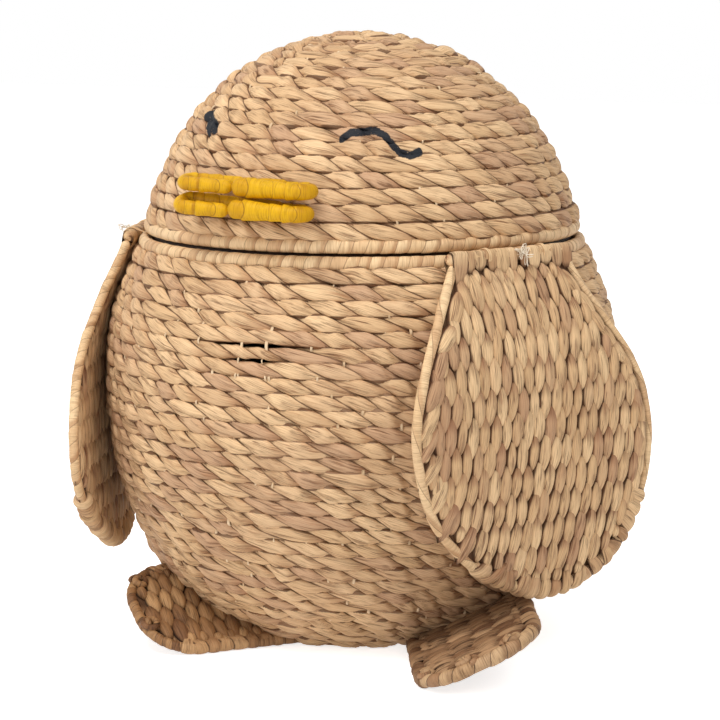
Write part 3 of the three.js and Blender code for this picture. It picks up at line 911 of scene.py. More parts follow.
@dataclass(frozen=True)
class WoundRoll:
    """A round core with a flat strip wound over it.

    Each turn of the strip stands up by the swell, partly as an arch and, by the share of the lap, as a step. The lean
    and the bow are the slant and the curve of its edges, as shares of a turn.
    """

    radius: float
    strip: float = 9.5 * MM
    lean: float = 1.0
    swell: float = 0.07
    lap: float = 0.5
    bow: float = 0.0
    uneven: float = 0.12
    uneven_swell: float = 0.35
    lap_rise: float = 8
    cap_steps: int = 6
    steps: int = 8
    sides: int = 14
    flat: float = 1.0

    def along(
        self, draft: Draft, path: Array, up: Array, rng: Rng, number: int, ring: bool = False,
        sizes: tuple[Sequence[float], Sequence[float]] | None = None,
    ) -> None:
        """Winds the strip along a path.

        Args:
            draft: Takes the mesh.
            path: Points that the core follows; the first one again at the end of a ring.
            up: Direction that the section keeps to its top.
            rng: Source of the strips' unevenness.
            number: Number that sets its strips apart from those of other rolls.
            ring: Whether the roll closes on itself.
            sizes: Shares of the length and the share of the radius at each, where it isn't even.
        """
        run = run_of(path)
        length = run[-1]
        strips = max(2, round(length / self.strip))
        share = np.linspace(0, 1, strips * self.steps + 1)
        if not ring:
            close = self.radius / length * (1 - np.cos(np.linspace(0, math.pi / 2, self.cap_steps + 1)))
            share = np.unique(np.concatenate([share[share > close[-1]], close, [1.0]]))
            share = np.unique(np.concatenate([share[share < 1 - close[-1]], 1 - close]))
        centre = sample(share * length, run, path)
        if ring:
            way = np.roll(centre[:-1], -1, axis=0) - np.roll(centre[:-1], 1, axis=0)
            way = np.concatenate([way, way[:1]])
        else:
            way = np.gradient(centre, share, axis=0)
        way = unit(way)
        side = unit(np.cross(way, up))
        top = np.cross(side, way)
        around = full_turn(self.sides)
        phase = strips * share[:, None] + self.lean * (around / math.tau)[None, :]
        phase = phase - self.bow * np.cos(around)[None, :]
        phase = phase + self.uneven * wobble(rng, math.tau * share, max(3, strips // 2))[:, None]
        part = phase - np.floor(phase)
        whole = strips if ring else strips + 5
        own = rng.normal(0, 1, whole)[np.floor(phase).astype(int) % whole]
        arch = np.sin(math.pi * part) ** 0.5
        step = (1 - part) * np.minimum(1, part * self.lap_rise)
        lapped = (1 - self.lap) * arch + self.lap * step
        relief = 1 + self.swell * lapped * (1 + self.uneven_swell * own) - self.swell / 2
        reach = self.radius * relief
        if sizes is not None:
            reach = reach * np.interp(share, *sizes)[:, None]
        if not ring:
            end = np.minimum(share, 1 - share) * length / self.radius
            reach = reach * np.sqrt(np.clip(1 - (1 - np.minimum(end, 1)) ** 2, 1e-4, 1))[:, None]
        cosine, sine = np.cos(around)[None, :, None], np.sin(around)[None, :, None]
        across = cosine * side[:, None] - self.flat * sine * top[:, None]
        fibre = pair((around * self.radius)[None, :], (share * length)[:, None])
        # Near each turn's ends the finish paints shade, at the laps of the strip.
        place = np.stack([phase + LEAVES_IN_ROW * number, 2 * part - 1], -1)
        draft.add(centre[:, None] + reach[..., None] * across, fibre, place, ring=ring)


@dataclass(frozen=True)
class WovenField:
    """Strands woven over and under rods, seen as leaves in staggered bands.

    The pairs of powers shape the humps of a leaf: how it narrows to its points, how its crest falls to them and how
    it rounds off to its sides. The uneven fields are the spreads of its place, size and stance.
    """

    band: float = 18.6 * MM
    spacing: float = 9.9 * MM
    length: float = 29 * MM
    width: float = 11.5 * MM
    rise: float = 4.4 * MM
    tuck: float = 0.4 * MM
    beyond: float = 1.5 * MM
    rows: int = 12
    columns: int = 8
    shortest_part: int = 3
    point_powers: Pair = (2.1, 0.86)
    crest_powers: Pair = (2.4, 0.62)
    side_powers: Pair = (2.3, 0.78)
    side_rise: float = 0.1
    gather: float = 0.35
    chord_spread: float = 0.12
    uneven_place: float = 0.9 * MM
    uneven_length: float = 0.07
    uneven_width: float = 0.09
    uneven_lift: float = 0.25 * MM
    uneven_turn: float = 0.05
    uneven_side: float = 0.35 * MM

    def leaf(
        self, draft: Draft, place: Surface, centre: Pair, half: float, wide: float,
        lean: float, lift: float, face: int, number: int,
    ) -> None:
        """Adds one leaf: a pillow with two pointed ends that dip below its neighbours.

        Args:
            draft: Takes the mesh.
            place: Turns places along the strands, across them and above the panel's middle into points.
            centre: The leaf's centre, along and across.
            half: Half its length.
            wide: Half its width.
            lean: Angle from the strands' way.
            lift: Extra height.
            face: 1 for the outer face, -1 for the inner one.
            number: Number of the leaf.
        """
        t = np.linspace(-1, 1, self.rows + 1)[:, None]
        q = np.linspace(-1, 1, self.columns + 1)[None, :]
        narrow = hump(t, self.point_powers)
        crest = self.tuck + (self.rise + lift - self.tuck) * hump(t, self.crest_powers)
        pillow = crest * (self.side_rise + (1 - self.side_rise) * hump(q, self.side_powers))
        ahead, aside = half * t + 0 * q, wide * narrow * q
        along = centre[0] + ahead * math.cos(lean) - aside * math.sin(lean)
        across = centre[1] + ahead * math.sin(lean) + aside * math.cos(lean)
        points = place(along, across, face * pillow)
        fibre = pair(half * t, q * wide * (self.gather + (1 - self.gather) * narrow))
        marks = pair(number + 0.5 + 0.499 * t, q + 0 * t)
        if face < 0:
            points, fibre, marks = points[:, ::-1], fibre[:, ::-1], marks[:, ::-1]
        draft.add(points, fibre, marks)

    def fill(self, draft: Draft, panel: "Mirrored", face: int, rng: Rng, number: int) -> None:
        """Fills a face with leaves.

        Args:
            draft: Takes the mesh.
            panel: The wing or foot. It knows its span across the strands, its chords along them and their lean.
            face: 1 for the outer face, -1 for the inner one.
            rng: Source of the leaves' unevenness.
            number: Number that sets its leaves apart from those of other fields.
        """
        leaf, span = LEAVES_IN_FIELD * number, panel.span
        shortest = self.length / self.shortest_part
        spread = self.chord_spread
        for column in range(int((span[1] - span[0]) / (self.spacing / 2)) + 1):
            across = span[0] + column * self.spacing / 2
            lows, highs = zip(*(panel.chord(across + shift * self.width) for shift in (-spread, 0, spread)))
            low, high = max(lows), min(highs)
            if high - low < shortest:
                continue
            phase = (column + (face < 0)) % 2
            for band in range(math.floor(low / (2 * self.band)) - 1, math.ceil(high / (2 * self.band)) + 2):
                centre = (2 * band + phase) * self.band + rng.normal(0, self.uneven_place)
                half = self.length / 2 * (1 + rng.normal(0, self.uneven_length))
                bottom, top = max(centre - half, low - self.beyond), min(centre + half, high + self.beyond)
                wide = self.width / 2 * (1 + rng.normal(0, self.uneven_width))
                lift = rng.normal(0, self.uneven_lift)
                turn = rng.normal(0, self.uneven_turn)
                aside = rng.normal(0, self.uneven_side)
                if top - bottom < shortest:
                    continue
                leaf += 1
                middle, half = (bottom + top) / 2, (top - bottom) / 2
                wide *= min(1, 0.5 + half / self.length)
                angle = panel.lean(middle, across) + turn
                self.leaf(draft, panel.place, (middle, across + aside), half, wide, angle, lift, face, leaf)


@dataclass(frozen=True)
class FoldedEdge:
    """Strands that fold over an edge from one face of a panel to the other.

    Each fold runs round the edge's radius and then into the panel to its depth, where it sinks in and narrows.
    """

    radius: float = 3.9 * MM
    width: float = 11 * MM
    deep: float = 14 * MM
    bulge: float = 0.9 * MM
    skew: float = 0.15
    spread: float = 0.16
    cover: float = 1.14
    rows: int = 18
    columns: int = 6
    sink_power: float = 2.2
    sink_depth: float = 0.8
    pinch: float = 0.75
    pinch_power: float = 1.6
    round_power: float = 2.2
    uneven_place: float = 0.05
    uneven_skew: float = 1.5
    uneven_bulge: float = 0.3

    def along(self, draft: Draft, place: Surface, edge: Array, inward: Array, rng: Rng, number: int) -> None:
        """Folds strands over an edge.

        Args:
            draft: Takes the mesh.
            place: Turns places along the strands, across them and above the panel's middle into points.
            edge: The edge's points, as places along and across.
            inward: Unit directions into the panel at them.
            rng: Source of the folds' unevenness.
            number: Number that sets its folds apart from those of other edges.
        """
        run = run_of(edge)
        count = max(1, round(run[-1] / self.width))
        v = np.linspace(-1, 1, self.rows + 1)
        q = np.linspace(-1, 1, self.columns + 1)[None, :]
        bend = math.pi / 2 * self.radius
        for fold in range(count):
            deep = self.deep * (1 + self.spread * rng.normal())
            total = bend + deep - self.radius
            travel = np.abs(v) * total
            angle = np.minimum(travel / self.radius, math.pi / 2)
            inside = np.where(travel < bend, self.radius * (1 - np.cos(angle)), self.radius + travel - bend)
            sink = np.clip((travel - bend) / (total - bend + 1e-9), 0, 1) ** self.sink_power
            lift = np.where(travel < bend, self.radius * np.sin(angle), self.radius * (1 - self.sink_depth * sink))
            lift = lift * np.sign(v)
            narrow = (1 - self.pinch * sink**self.pinch_power)[:, None]
            middle = run[-1] * (fold + 0.5) / count + rng.normal(0, self.uneven_place) * self.width
            skew = self.skew * (1 + self.uneven_skew * rng.normal())
            half = self.width / 2 * self.cover * (1 + self.spread * rng.normal())
            at = np.clip(middle + half * narrow * q + skew * inside[:, None], 0, run[-1])
            base, into = sample(at, run, edge), unit(sample(at, run, inward))
            puff = self.bulge * (0.5 - np.abs(q) ** self.round_power) * (1 + self.uneven_bulge * rng.normal())
            puff = puff + 0 * lift[:, None]
            out = np.where(travel < bend, np.cos(angle), 0.0)[:, None]
            up = (np.where(travel < bend, np.sin(angle), 1.0) * np.sign(v))[:, None]
            flat = base + (inside[:, None] - puff * out)[..., None] * into
            points = place(flat[..., 0], flat[..., 1], lift[:, None] + puff * up)
            fibre = pair((v * total)[:, None], q * half)
            marks = pair(number * LEAVES_IN_FIELD + fold + 0.5 + 0.49 * v[:, None], q)
            draft.add(points, fibre, marks)


@dataclass(frozen=True)
class LooseThread:
    """Thin thread drawn as a tube."""

    radius: float = 0.45 * MM
    sides: int = 6
    fibre_length: float = 0.03
    aside: tuple[float, float, float] = (0.31, 0.22, 0.93)

    def along(self, draft: Draft, path: Array, number: int) -> None:
        """Draws the thread along a path.

        Args:
            draft: Takes the mesh.
            path: Points that it follows.
            number: Number of the thread.
        """
        way = unit(np.gradient(path, axis=0))
        side = unit(np.cross(way, np.array(self.aside)))
        top = np.cross(side, way)
        around = full_turn(self.sides)
        ring = np.cos(around)[None, :, None] * side[:, None] - np.sin(around)[None, :, None] * top[:, None]
        run = np.linspace(0, 1, len(path))[:, None]
        fibre = pair(run * self.fibre_length, (around * self.radius)[None, :])
        draft.add(path[:, None] + self.radius * ring, fibre, pair(number + run * 0.98, 0 * around[None, :]))


@dataclass(frozen=True)
class Lamp:
    """A soft square lamp that looks at the middle of the basket."""

    name: str
    place: tuple[float, float, float]
    size: float
    watts: float


class Studio:
    """Floor, light and camera."""

    distance = 2.0
    height = 496.4 * MM
    bearing = math.radians(29.0)
    pitch = math.radians(8.68)
    focal_pixels = 2768.9
    picture = 720
    centre_pixel = 362.0
    sensor = 36.0
    floor_half = 6.0
    room_strength = 0.4
    white = (1.0, 1.0, 1.0)
    lit_point = (0.0, 0.0, 0.2)
    lamps = (
        Lamp("lamp_top", (-0.2, -1.0, 2.1), 0.9, 28.0),
        Lamp("lamp_left", (-1.7, -1.7, 0.9), 1.0, 10.0),
        Lamp("lamp_right", (1.7, -0.7, 1.7), 1.0, 13.0),
        Lamp("lamp_low", (0.5, -2.3, 0.2), 0.9, 8.5),
    )

    def set_camera(self) -> None:
        """Stands the camera where the photograph was taken from."""
        out, _ = bearing_axes(self.bearing)
        look = -out * math.cos(self.pitch) - UP * math.sin(self.pitch)
        data = bpy.data.cameras.new("camera")
        data.sensor_width = self.sensor
        data.lens = self.focal_pixels / self.picture * self.sensor
        data.shift_x = -(self.centre_pixel - self.picture / 2) / self.picture
        camera = bpy.data.objects.new("camera", data)
        camera.location = Vector(out * self.distance + UP * self.height)
        camera.rotation_euler = Vector(look).to_track_quat("-Z", "Y").to_euler()
        bpy.context.scene.collection.objects.link(camera)
        bpy.context.scene.camera = camera

    def set_floor(self) -> None:
        """Lays the white floor."""
        mesh = bpy.data.meshes.new("studio_floor")
        half = self.floor_half
        corners = [(-half, -half, 0), (half, -half, 0), (half, half, 0), (-half, half, 0)]
        mesh.from_pydata(corners, [], [(0, 1, 2, 3)])
        mesh.materials.append(StudioFinish().make())
        floor = bpy.data.objects.new("studio_floor", mesh)
        bpy.context.scene.collection.objects.link(floor)

    def set_light(self) -> None:
        """Hangs the soft lamps and lights the room, which shows white to the camera."""
        world = bpy.data.worlds.new("studio_room")
        world.use_nodes = True
        bpy.context.scene.world = world
        nodes = Nodes(world.node_tree)
        ground = next(node for node in world.node_tree.nodes if node.type == "BACKGROUND")
        strength = nodes.math("MULTIPLY_ADD", nodes.seen_plainly(), 1 - self.room_strength, self.room_strength)
        nodes.feed(ground, Color=self.white, Strength=strength)
        for lamp in self.lamps:
            data = bpy.data.lights.new(lamp.name, "AREA")
            data.energy = lamp.watts
            data.size = lamp.size
            holder = bpy.data.objects.new(lamp.name, data)
            holder.location = lamp.place
            way = Vector(self.lit_point) - Vector(lamp.place)
            holder.rotation_euler = way.to_track_quat("-Z", "Y").to_euler()
            bpy.context.scene.collection.objects.link(holder)
        bpy.context.scene.view_settings.view_transform = "Standard"

    def build(self) -> None:
        """Sets up the whole studio."""
        self.set_camera()
        self.set_floor()
        self.set_light()


BROW_LINES = (
    (
        (22.9, 361.6), (25.5, 365.7), (28.7, 366.0), (33.2, 366.9), (36.1, 363.8),
        (37.9, 358.2), (40.1, 352.6), (42.8, 350.6), (45.9, 353.0),
    ),
    ((-37.4, 371.8), (-33.6, 369.2), (-29.6, 365.6), (-27.6, 361.6)),
    ((-37.0, 374.6), (-32.6, 372.4), (-28.2, 368.6), (-25.6, 363.2)),
)


@dataclass
class Finishes:
    """Every material of the basket, built once."""

    effects: Effects = field(default_factory=Effects)

    def __post_init__(self) -> None:
        """Builds the materials."""
        # The side and end places say where painted shade begins and ends: at the sides and ends of woven leaves, and
        # at the laps of wound strips.
        woven = {"side_from": 0.76, "side_to": 0.95, "end_from": 0.78, "end_dip": 1.0}
        crisp = {**woven, "side_from": 0.74, "side_to": 0.88}
        wound = {"side_from": 1.5, "side_to": 2.0, "end_from": 0.9, "end_dip": 1.0}
        wound |= {"relief": 0.4 * MM, "roughness": 0.55}
        tight = {**wound, "end_from": 0.94}
        rough = {**woven, "relief": 1.3 * MM}
        fine = {"fibre_width": 0.2 * MM, "relief": 0.15 * MM}
        self.rope = self.fibre("hyacinth_rope", ROPE_TINTS, broad=0.3)
        painted = PaintedFibreFinish("hyacinth_rope_painted", lines=BROW_LINES, broad=0.3)
        self.painted = painted.make(self.effects)
        self.weave = self.fibre("hyacinth_weave", WEAVE_TINTS, dip=0.92, **crisp)
        self.fold = self.fibre("hyacinth_fold", FOLD_TINTS, dip=0.9, stains=0.3, **woven)
        self.foot = self.fibre("hyacinth_foot", FOOT_TINTS, dip=0.9, stains=0.6, **woven)
        self.foot_rim = self.fibre("hyacinth_foot_rim", RIM_TINTS, dip=0.9, stains=0.4, **woven)
        self.near_foot = self.fibre(
            "hyacinth_near_foot", NEAR_FOOT_TINTS, dip=0.92, stains=0.8, creases=0.9, **rough
        )
        self.stitch = self.fibre("sewing_thread", STITCH_TINTS, dip=0.2, stains=0.1, creases=0.1)
        self.strip = self.fibre("wound_strip", STRIP_TINTS, dip=0.6, stains=0.25, creases=0.2, **wound)
        self.foot_strip = self.fibre("wound_foot_strip", FOOT_TINTS, dip=0.9, stains=0.4, **wound)
        self.toe_strip = self.fibre("wound_toe_strip", TOE_TINTS, dip=0.9, stains=0.4, **wound)
        self.hidden_strip = self.fibre("wound_strip_in_shade", SHADE_TINTS, **wound)
        self.yellow = self.fibre("yellow_strip", YELLOW_TINTS, dip=0.7, stains=0.4, creases=0.25, **tight)
        self.core = self.fibre("shaded_core", CORE_TINTS, side_from=1.5, side_to=2.0)
        self.thread = self.fibre("waxed_thread", THREAD_TINTS, dip=0.2, stains=0.1, creases=0.1, **fine)
        self.wire = WireFinish().make()

    def fibre(self, name: str, tints: Palette, **look: float) -> Material:
        """One material of plant strips, in its own tints and look."""
        return FibreFinish(name, tints, **look).make(self.effects)


def dress(starts: tuple[str, ...], material: Material) -> None:
    """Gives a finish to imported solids, which keep their shapes.

    Args:
        starts: How their names start.
        material: The finish.
    """
    for name in [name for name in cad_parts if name.startswith(starts)]:
        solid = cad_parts[name]
        solid.data.materials.clear()
        solid.data.materials.append(material)
        log.info("%s keeps its solid", name)


class Coursed:
    """What the body and the lid share: closed rows of rope, sewn one above another on an outline.

    One row, at the edge, is shifted outward and up. Rows in the painted heights take the paint.
    """

    finishes: Finishes
    body: str
    solid: str
    prefix: str
    outline: Outline
    share: Callable[[float], float]
    rows: int
    depth: float
    rope: TwistedRope
    rope_seed: int
    edge_row: int
    edge_shift: Pair
    stitches: Stitches
    stitch_seed: int
    bare_stitch: Stitches = Stitches(half_length=2.9 * MM, half_width=0.75 * MM, sunk=1.4 * MM)
    bare_stitches: tuple[tuple[int, float], ...] = ()
    painted_heights: Pair = (0.0, 0.0)
    unsewn_rows: int = 0
    ring_steps: int = 720

    def seat(self, row: float, depth: float) -> RowSeat:
        """The seat of a row, whose centre lies a depth inside the outline."""
        _, along = self.outline.at(self.share(row))
        return RowSeat(self.outline.offset(self.share(row), -depth), along, np.array([along[1], -along[0]]))

    def lay_rows(self) -> None:
        """Lays the rows of rope."""
        low, high = self.painted_heights
        for row in range(self.rows):
            seat = self.seat(row + 0.5, self.depth / 2)
            if row == self.edge_row % self.rows:
                seat = seat.moved(*self.edge_shift)
            draft = Draft()
            self.rope.ring(draft, seat, draws(self.rope_seed + row), row)
            material = self.finishes.painted if low < seat.centre[1] < high else self.finishes.rope
            piece = draft.build(f"{self.prefix}_rope_row_{row + 1:02d}", material)
            settle(piece, self.body, Slot.ROPE, self.solid)

    def sew_rows(self) -> None:
        """Sews the rows together."""
        draft = Draft()
        for row in range(1, self.rows - self.unsewn_rows):
            seat, rng = self.seat(row, 0.0), draws(self.stitch_seed + row)
            self.stitches.row(draft, seat, rng)
            for bearing in [turn for sewn, turn in self.bare_stitches if sewn == row]:
                self.bare_stitch.sew(draft, seat, math.radians(bearing), rng, row)
        piece = draft.build(f"{self.prefix}_stitches", self.finishes.stitch)
        settle(piece, self.body, Slot.THREAD, self.solid)

    def wind(self, name: str, node: str, centre: Array, roll: WoundRoll, seed: int, material: Material) -> None:
        """Winds one closed roll about the axis.

        Args:
            name: Name of the piece.
            node: The solid that it replaces.
            centre: Radius and height of its core.
            roll: Its core and strip.
            seed: Seed of its unevenness.
            material: Its finish.
        """
        bearing = math.pi + math.tau * np.arange(self.ring_steps + 1) / self.ring_steps
        draft = Draft()
        roll.along(draft, about_axis(*centre, bearing), UP, draws(seed), 1, ring=True)
        settle(draft.build(name, material), self.body, Slot.STRIP, node)


@dataclass
class Basket(Coursed):
    """The body: rope rows, mouth roll, base and wire frame.

    The shares of the outline are (up, out), as parts of the height and of the belly's radius. The bare stitches are
    seen in the slits between rows, each at the row above it and its bearing in degrees.
    """

    body, solid, prefix = "basket", "body_wall", "body"
    finishes: Finishes
    height: float = 284 * MM
    belly: float = 186.5 * MM
    rows: int = 29
    groove: float = 1.9 * MM
    depth: float = 9.5 * MM
    mouth_radius: float = 161.3 * MM
    mouth_roll: float = 4.3 * MM
    mouth_cover: float = 1.04
    mouth_flat: float = 1.12
    mouth_strip: float = 8.5 * MM
    mouth_lift: float = 0.2 * MM
    clearance: float = 0.3 * MM
    base_rings: int = 9
    base_radius: float = 97 * MM
    base_height: float = 3.5 * MM
    wall_reach: float = 2.6 * MM
    edge_row: int = -1
    edge_shift: Pair = (1.2 * MM, 1.2 * MM)
    rope_seed: int = 100
    stitch_seed: int = 500
    mouth_seed: int = 7
    base_seed: int = 60
    base_rope: TwistedRope = TwistedRope(
        pitch=10.8 * MM, overlap=0.9 * MM, half_depth=3.3 * MM, sway=0.1 * MM, lift=0.1 * MM, shingle=0
    )
    rope: TwistedRope = TwistedRope(
        partings=(
            Parting(24, 5, 14, 3.3 * MM),
            Parting(23, 4.5, 8, 3.0 * MM),
            Parting(22, 5, 8, 1.4 * MM),
            Parting(26, 40, 4, 1.5 * MM),
            Parting(17, -22, 4, 1.5 * MM),
            Parting(12, 60, 5, 1.5 * MM),
            Parting(20, 150, 7, 1.9 * MM),
        )
    )
    stitches: Stitches = Stitches()
    bare_stitches: tuple[tuple[int, float], ...] = (
        (24, 2.4), (24, 8.2), (23, 1.8), (23, 7.4), (22, 1.3), (22, 8.3), (25, 22.5), (24, -9.0),
    )
    outline_shares: Pairs = (
        (0, 0.525), (0.07, 0.665), (0.175, 0.808), (0.31, 0.908), (0.45, 0.973),
        (0.63, 1), (0.79, 0.977), (0.895, 0.926), (0.965, 0.878), (1, 0.852),
    )

    def __post_init__(self) -> None:
        """Draws the outline."""
        self.outline = Outline([(self.belly * out, self.height * up) for up, out in self.outline_shares])
        self.mouth = np.array([self.mouth_radius - self.mouth_roll, self.height - self.mouth_roll])
        wall_top = self.mouth[1] - self.mouth_roll - self.clearance
        self.top_share = self.outline.share_at_height(wall_top - self.groove + self.wall_reach, -self.groove)

    def share(self, row: float) -> float:
        """Share of the outline at a row, counted from the ground."""
        return self.top_share * row / self.rows

    def build(self) -> None:
        """Builds every piece of the body."""
        self.lay_rows()
        self.sew_rows()
        roll = WoundRoll(self.mouth_roll * self.mouth_cover, strip=self.mouth_strip, flat=self.mouth_flat)
        centre = self.mouth + [0, self.mouth_lift]
        self.wind("body_mouth_binding", "body_mouth_roll", centre, roll, self.mouth_seed, self.finishes.strip)
        self.build_base()
        dress(("frame_",), self.finishes.wire)

    def build_base(self) -> None:
        """Lays the rings of the base."""
        draft = Draft()
        for ring in range(self.base_rings):
            radius = self.base_radius * (ring + 0.5) / self.base_rings
            seat = RowSeat(np.array([radius, self.base_height]), np.array([1.0, 0.0]), np.array([0.0, -1.0]))
            self.base_rope.ring(draft, seat, draws(self.base_seed + ring), ring)
        settle(draft.build("body_base_rings", self.finishes.rope), "basket", Slot.ROPE, "body_base")


@dataclass
class Lid(Coursed):
    """The head: rope rows, rim, seat ring, wire frame and beak.

    The shares of the outline are (up, out), as parts of the height and of the rim's radius.
    """

    body, solid, prefix = "lid", "lid_shell", "lid"
    finishes: Finishes
    foot: float = 287 * MM
    height: float = 143 * MM
    radius: float = 157.3 * MM
    rows: int = 19
    rope: TwistedRope = TwistedRope(pitch=11.8 * MM)
    depth: float = 9.5 * MM
    roll: float = 4.5 * MM
    clearance: float = 0.3 * MM
    edge_row: int = 0
    edge_shift: Pair = (0.9 * MM, -1.6 * MM)
    stitches: Stitches = Stitches(share_seen=0.25)
    unsewn_rows: int = 1
    rope_seed: int = 300
    stitch_seed: int = 700
    roll_seed: int = 8
    beak_seed: int = 9
    seat_centre: Pair = (146.2 * MM, 283.3 * MM)
    seat_roll: float = 4.3 * MM
    roll_cover: float = 1.08
    roll_sag: float = 0.2 * MM
    beak_length: float = 110 * MM
    beak_roll: float = 6.7 * MM
    beak_slit: float = 0.6 * MM
    beak_join: float = 7 * MM
    beak_bend_steps: int = 24
    beak_heights: Pair = (330.5 * MM, 316 * MM)
    beak_tilts: Pair = (1.0 * MM, 3.0 * MM)
    beak_slope: float = 0.03
    painted_heights: Pair = (342 * MM, 382 * MM)
    outline_shares: Pairs = (
        (0, 1), (0.09, 0.988), (0.175, 0.966), (0.26, 0.939), (0.345, 0.905), (0.435, 0.867),
        (0.515, 0.818), (0.6, 0.763), (0.69, 0.685), (0.775, 0.597), (0.865, 0.475),
        (0.93, 0.345), (0.98, 0.18), (1, 0),
    )

    def __post_init__(self) -> None:
        """Draws the outline."""
        self.outline = Outline(
            [(self.radius * out, self.foot + self.height * up) for up, out in self.outline_shares]
        )
        self.rim = np.array([self.radius - self.roll, self.foot + self.roll])
        self.from_share = self.outline.share_at_height(self.rim[1] + self.roll + self.clearance, -self.roll)

    def share(self, row: float) -> float:
        """Share of the outline at a row, counted from the rim."""
        return self.from_share + (1 - self.from_share) * row / self.rows

    def build(self) -> None:
        """Builds every piece of the lid."""
        self.lay_rows()
        self.sew_rows()
        finishes, sag, seed = self.finishes, [0, self.roll_sag], self.roll_seed
        roll = WoundRoll(self.roll * self.roll_cover)
        self.wind("lid_rim_binding", "lid_roll", self.rim - sag, roll, seed, finishes.strip)
        centre, roll = np.array(self.seat_centre) - sag, WoundRoll(self.seat_roll * self.roll_cover)
        # The seat ring's strip takes the painted shade of the slit under the rim.
        self.wind("lid_seat_binding", "lid_seat_ring", centre, roll, seed, finishes.hidden_strip)
        dress(("lid_rib", "lid_ring_crown"), finishes.wire)
        for name, height, tilt in zip(("beak_upper", "beak_lower"), self.beak_heights, self.beak_tilts):
            self.build_beak(name, height, tilt)

    def build_beak(self, name: str, height: float, tilt: float) -> None:
        """Winds one flattened loop of the beak, thick in front where the strip ends and thin behind.

        Args:
            name: The loop's solid.
            height: Its height.
            tilt: How far its rear bar stands up at its left end.
        """
        off = self.beak_roll + self.clearance
        rear = self.outline.offset(self.outline.share_at_height(height, off), off)[0]
        turn = self.beak_roll + self.beak_slit / 2
        half = self.beak_length / 2 - self.beak_roll - turn
        bend = np.linspace(math.pi / 2, -math.pi / 2, self.beak_bend_steps)
        path = [(-self.beak_join, 2 * turn, 0.0)]
        for angle in bend:
            path.append((half + turn * math.cos(angle), turn + turn * math.sin(angle), 0.0))
        for angle in bend:
            fall = tilt * (0.25 + 0.75 * math.sin(angle))
            path.append((-half - turn * math.cos(angle), turn - turn * math.sin(angle), fall))
        path += [(-half, 2 * turn, -tilt / 2), (-self.beak_join, 2 * turn, -tilt / 2)]
        points = np.array([(x, -rear - y, height + z - self.beak_slope * x) for x, y, z in path])
        length = float(np.linalg.norm(np.diff(points, axis=0), axis=1).sum())
        first = (half + self.beak_join + math.pi * turn) / length
        shares = (0, 0.02, 0.62 * first, first, first + 0.12, 0.99, 1)
        sizes = (1.0, 1.0, 0.85, 0.8, 0.74, 0.74, 0.6)
        roll = WoundRoll(
            self.beak_roll, strip=13.5 * MM, lean=0.15, swell=0.15, lap=0.85, bow=0.32, uneven=0.3, steps=16, sides=20
        )
        draft = Draft()
        roll.along(draft, points, UP, draws(self.beak_seed), 3, sizes=(shares, sizes))
        settle(draft.build(f"{name}_loop", self.finishes.yellow), "lid", Slot.YELLOW, name)


class Mirrored:
    """What wings and feet share. Each is made on the bird's left and mirrored for the right."""

    side: Side
    name: str
    body: str
    seed: int
    span: Pair
    place: Surface
    chord: Callable[[float], Pair]
    lean: Callable[[float, float], float]
    core_tints_per_metre: int = 40

    def middle(self, points: Array) -> Array:
        """Points in the middle of the thickness, from places on the outline."""
        return self.place(points[:, 1], points[:, 0], np.zeros(len(points)))

    def lay_core(self, edge: Array, rows: int, material: Material) -> None:
        """Closes the gaps between the leaves with a thin sheet, darker than the leaves as painted shade in the gaps.

        Args:
            edge: The edge from one end round to the other.
            rows: How many rows of points lead from one half of the edge to the other.
            material: The sheet's finish.
        """
        half = len(edge) // 2
        share = np.linspace(0, 1, rows)[:, None, None]
        grid = edge[:half] * (1 - share) + edge[::-1][:half] * share
        draft = Draft()
        points = self.place(grid[..., 1], grid[..., 0], 0 * grid[..., 0])
        draft.add(points, grid[..., ::-1], grid * self.core_tints_per_metre)
        self.settle(draft, "core", material, Slot.ROPE)

    def draws(self, number: int) -> Rng:
        """The source of random draws for one job."""
        return draws(self.seed + number)

    def settle(
        self, draft: Draft, name: str, material: Material, slot: Slot, *nodes: str, body: str = ""
    ) -> None:
        """Builds a piece on its own side and puts it on its body, or on the one given."""
        if self.side is Side.RIGHT:
            draft.mirror()
        settle(draft.build(f"{self.name}_{name}", material), body or self.body, slot, *nodes)


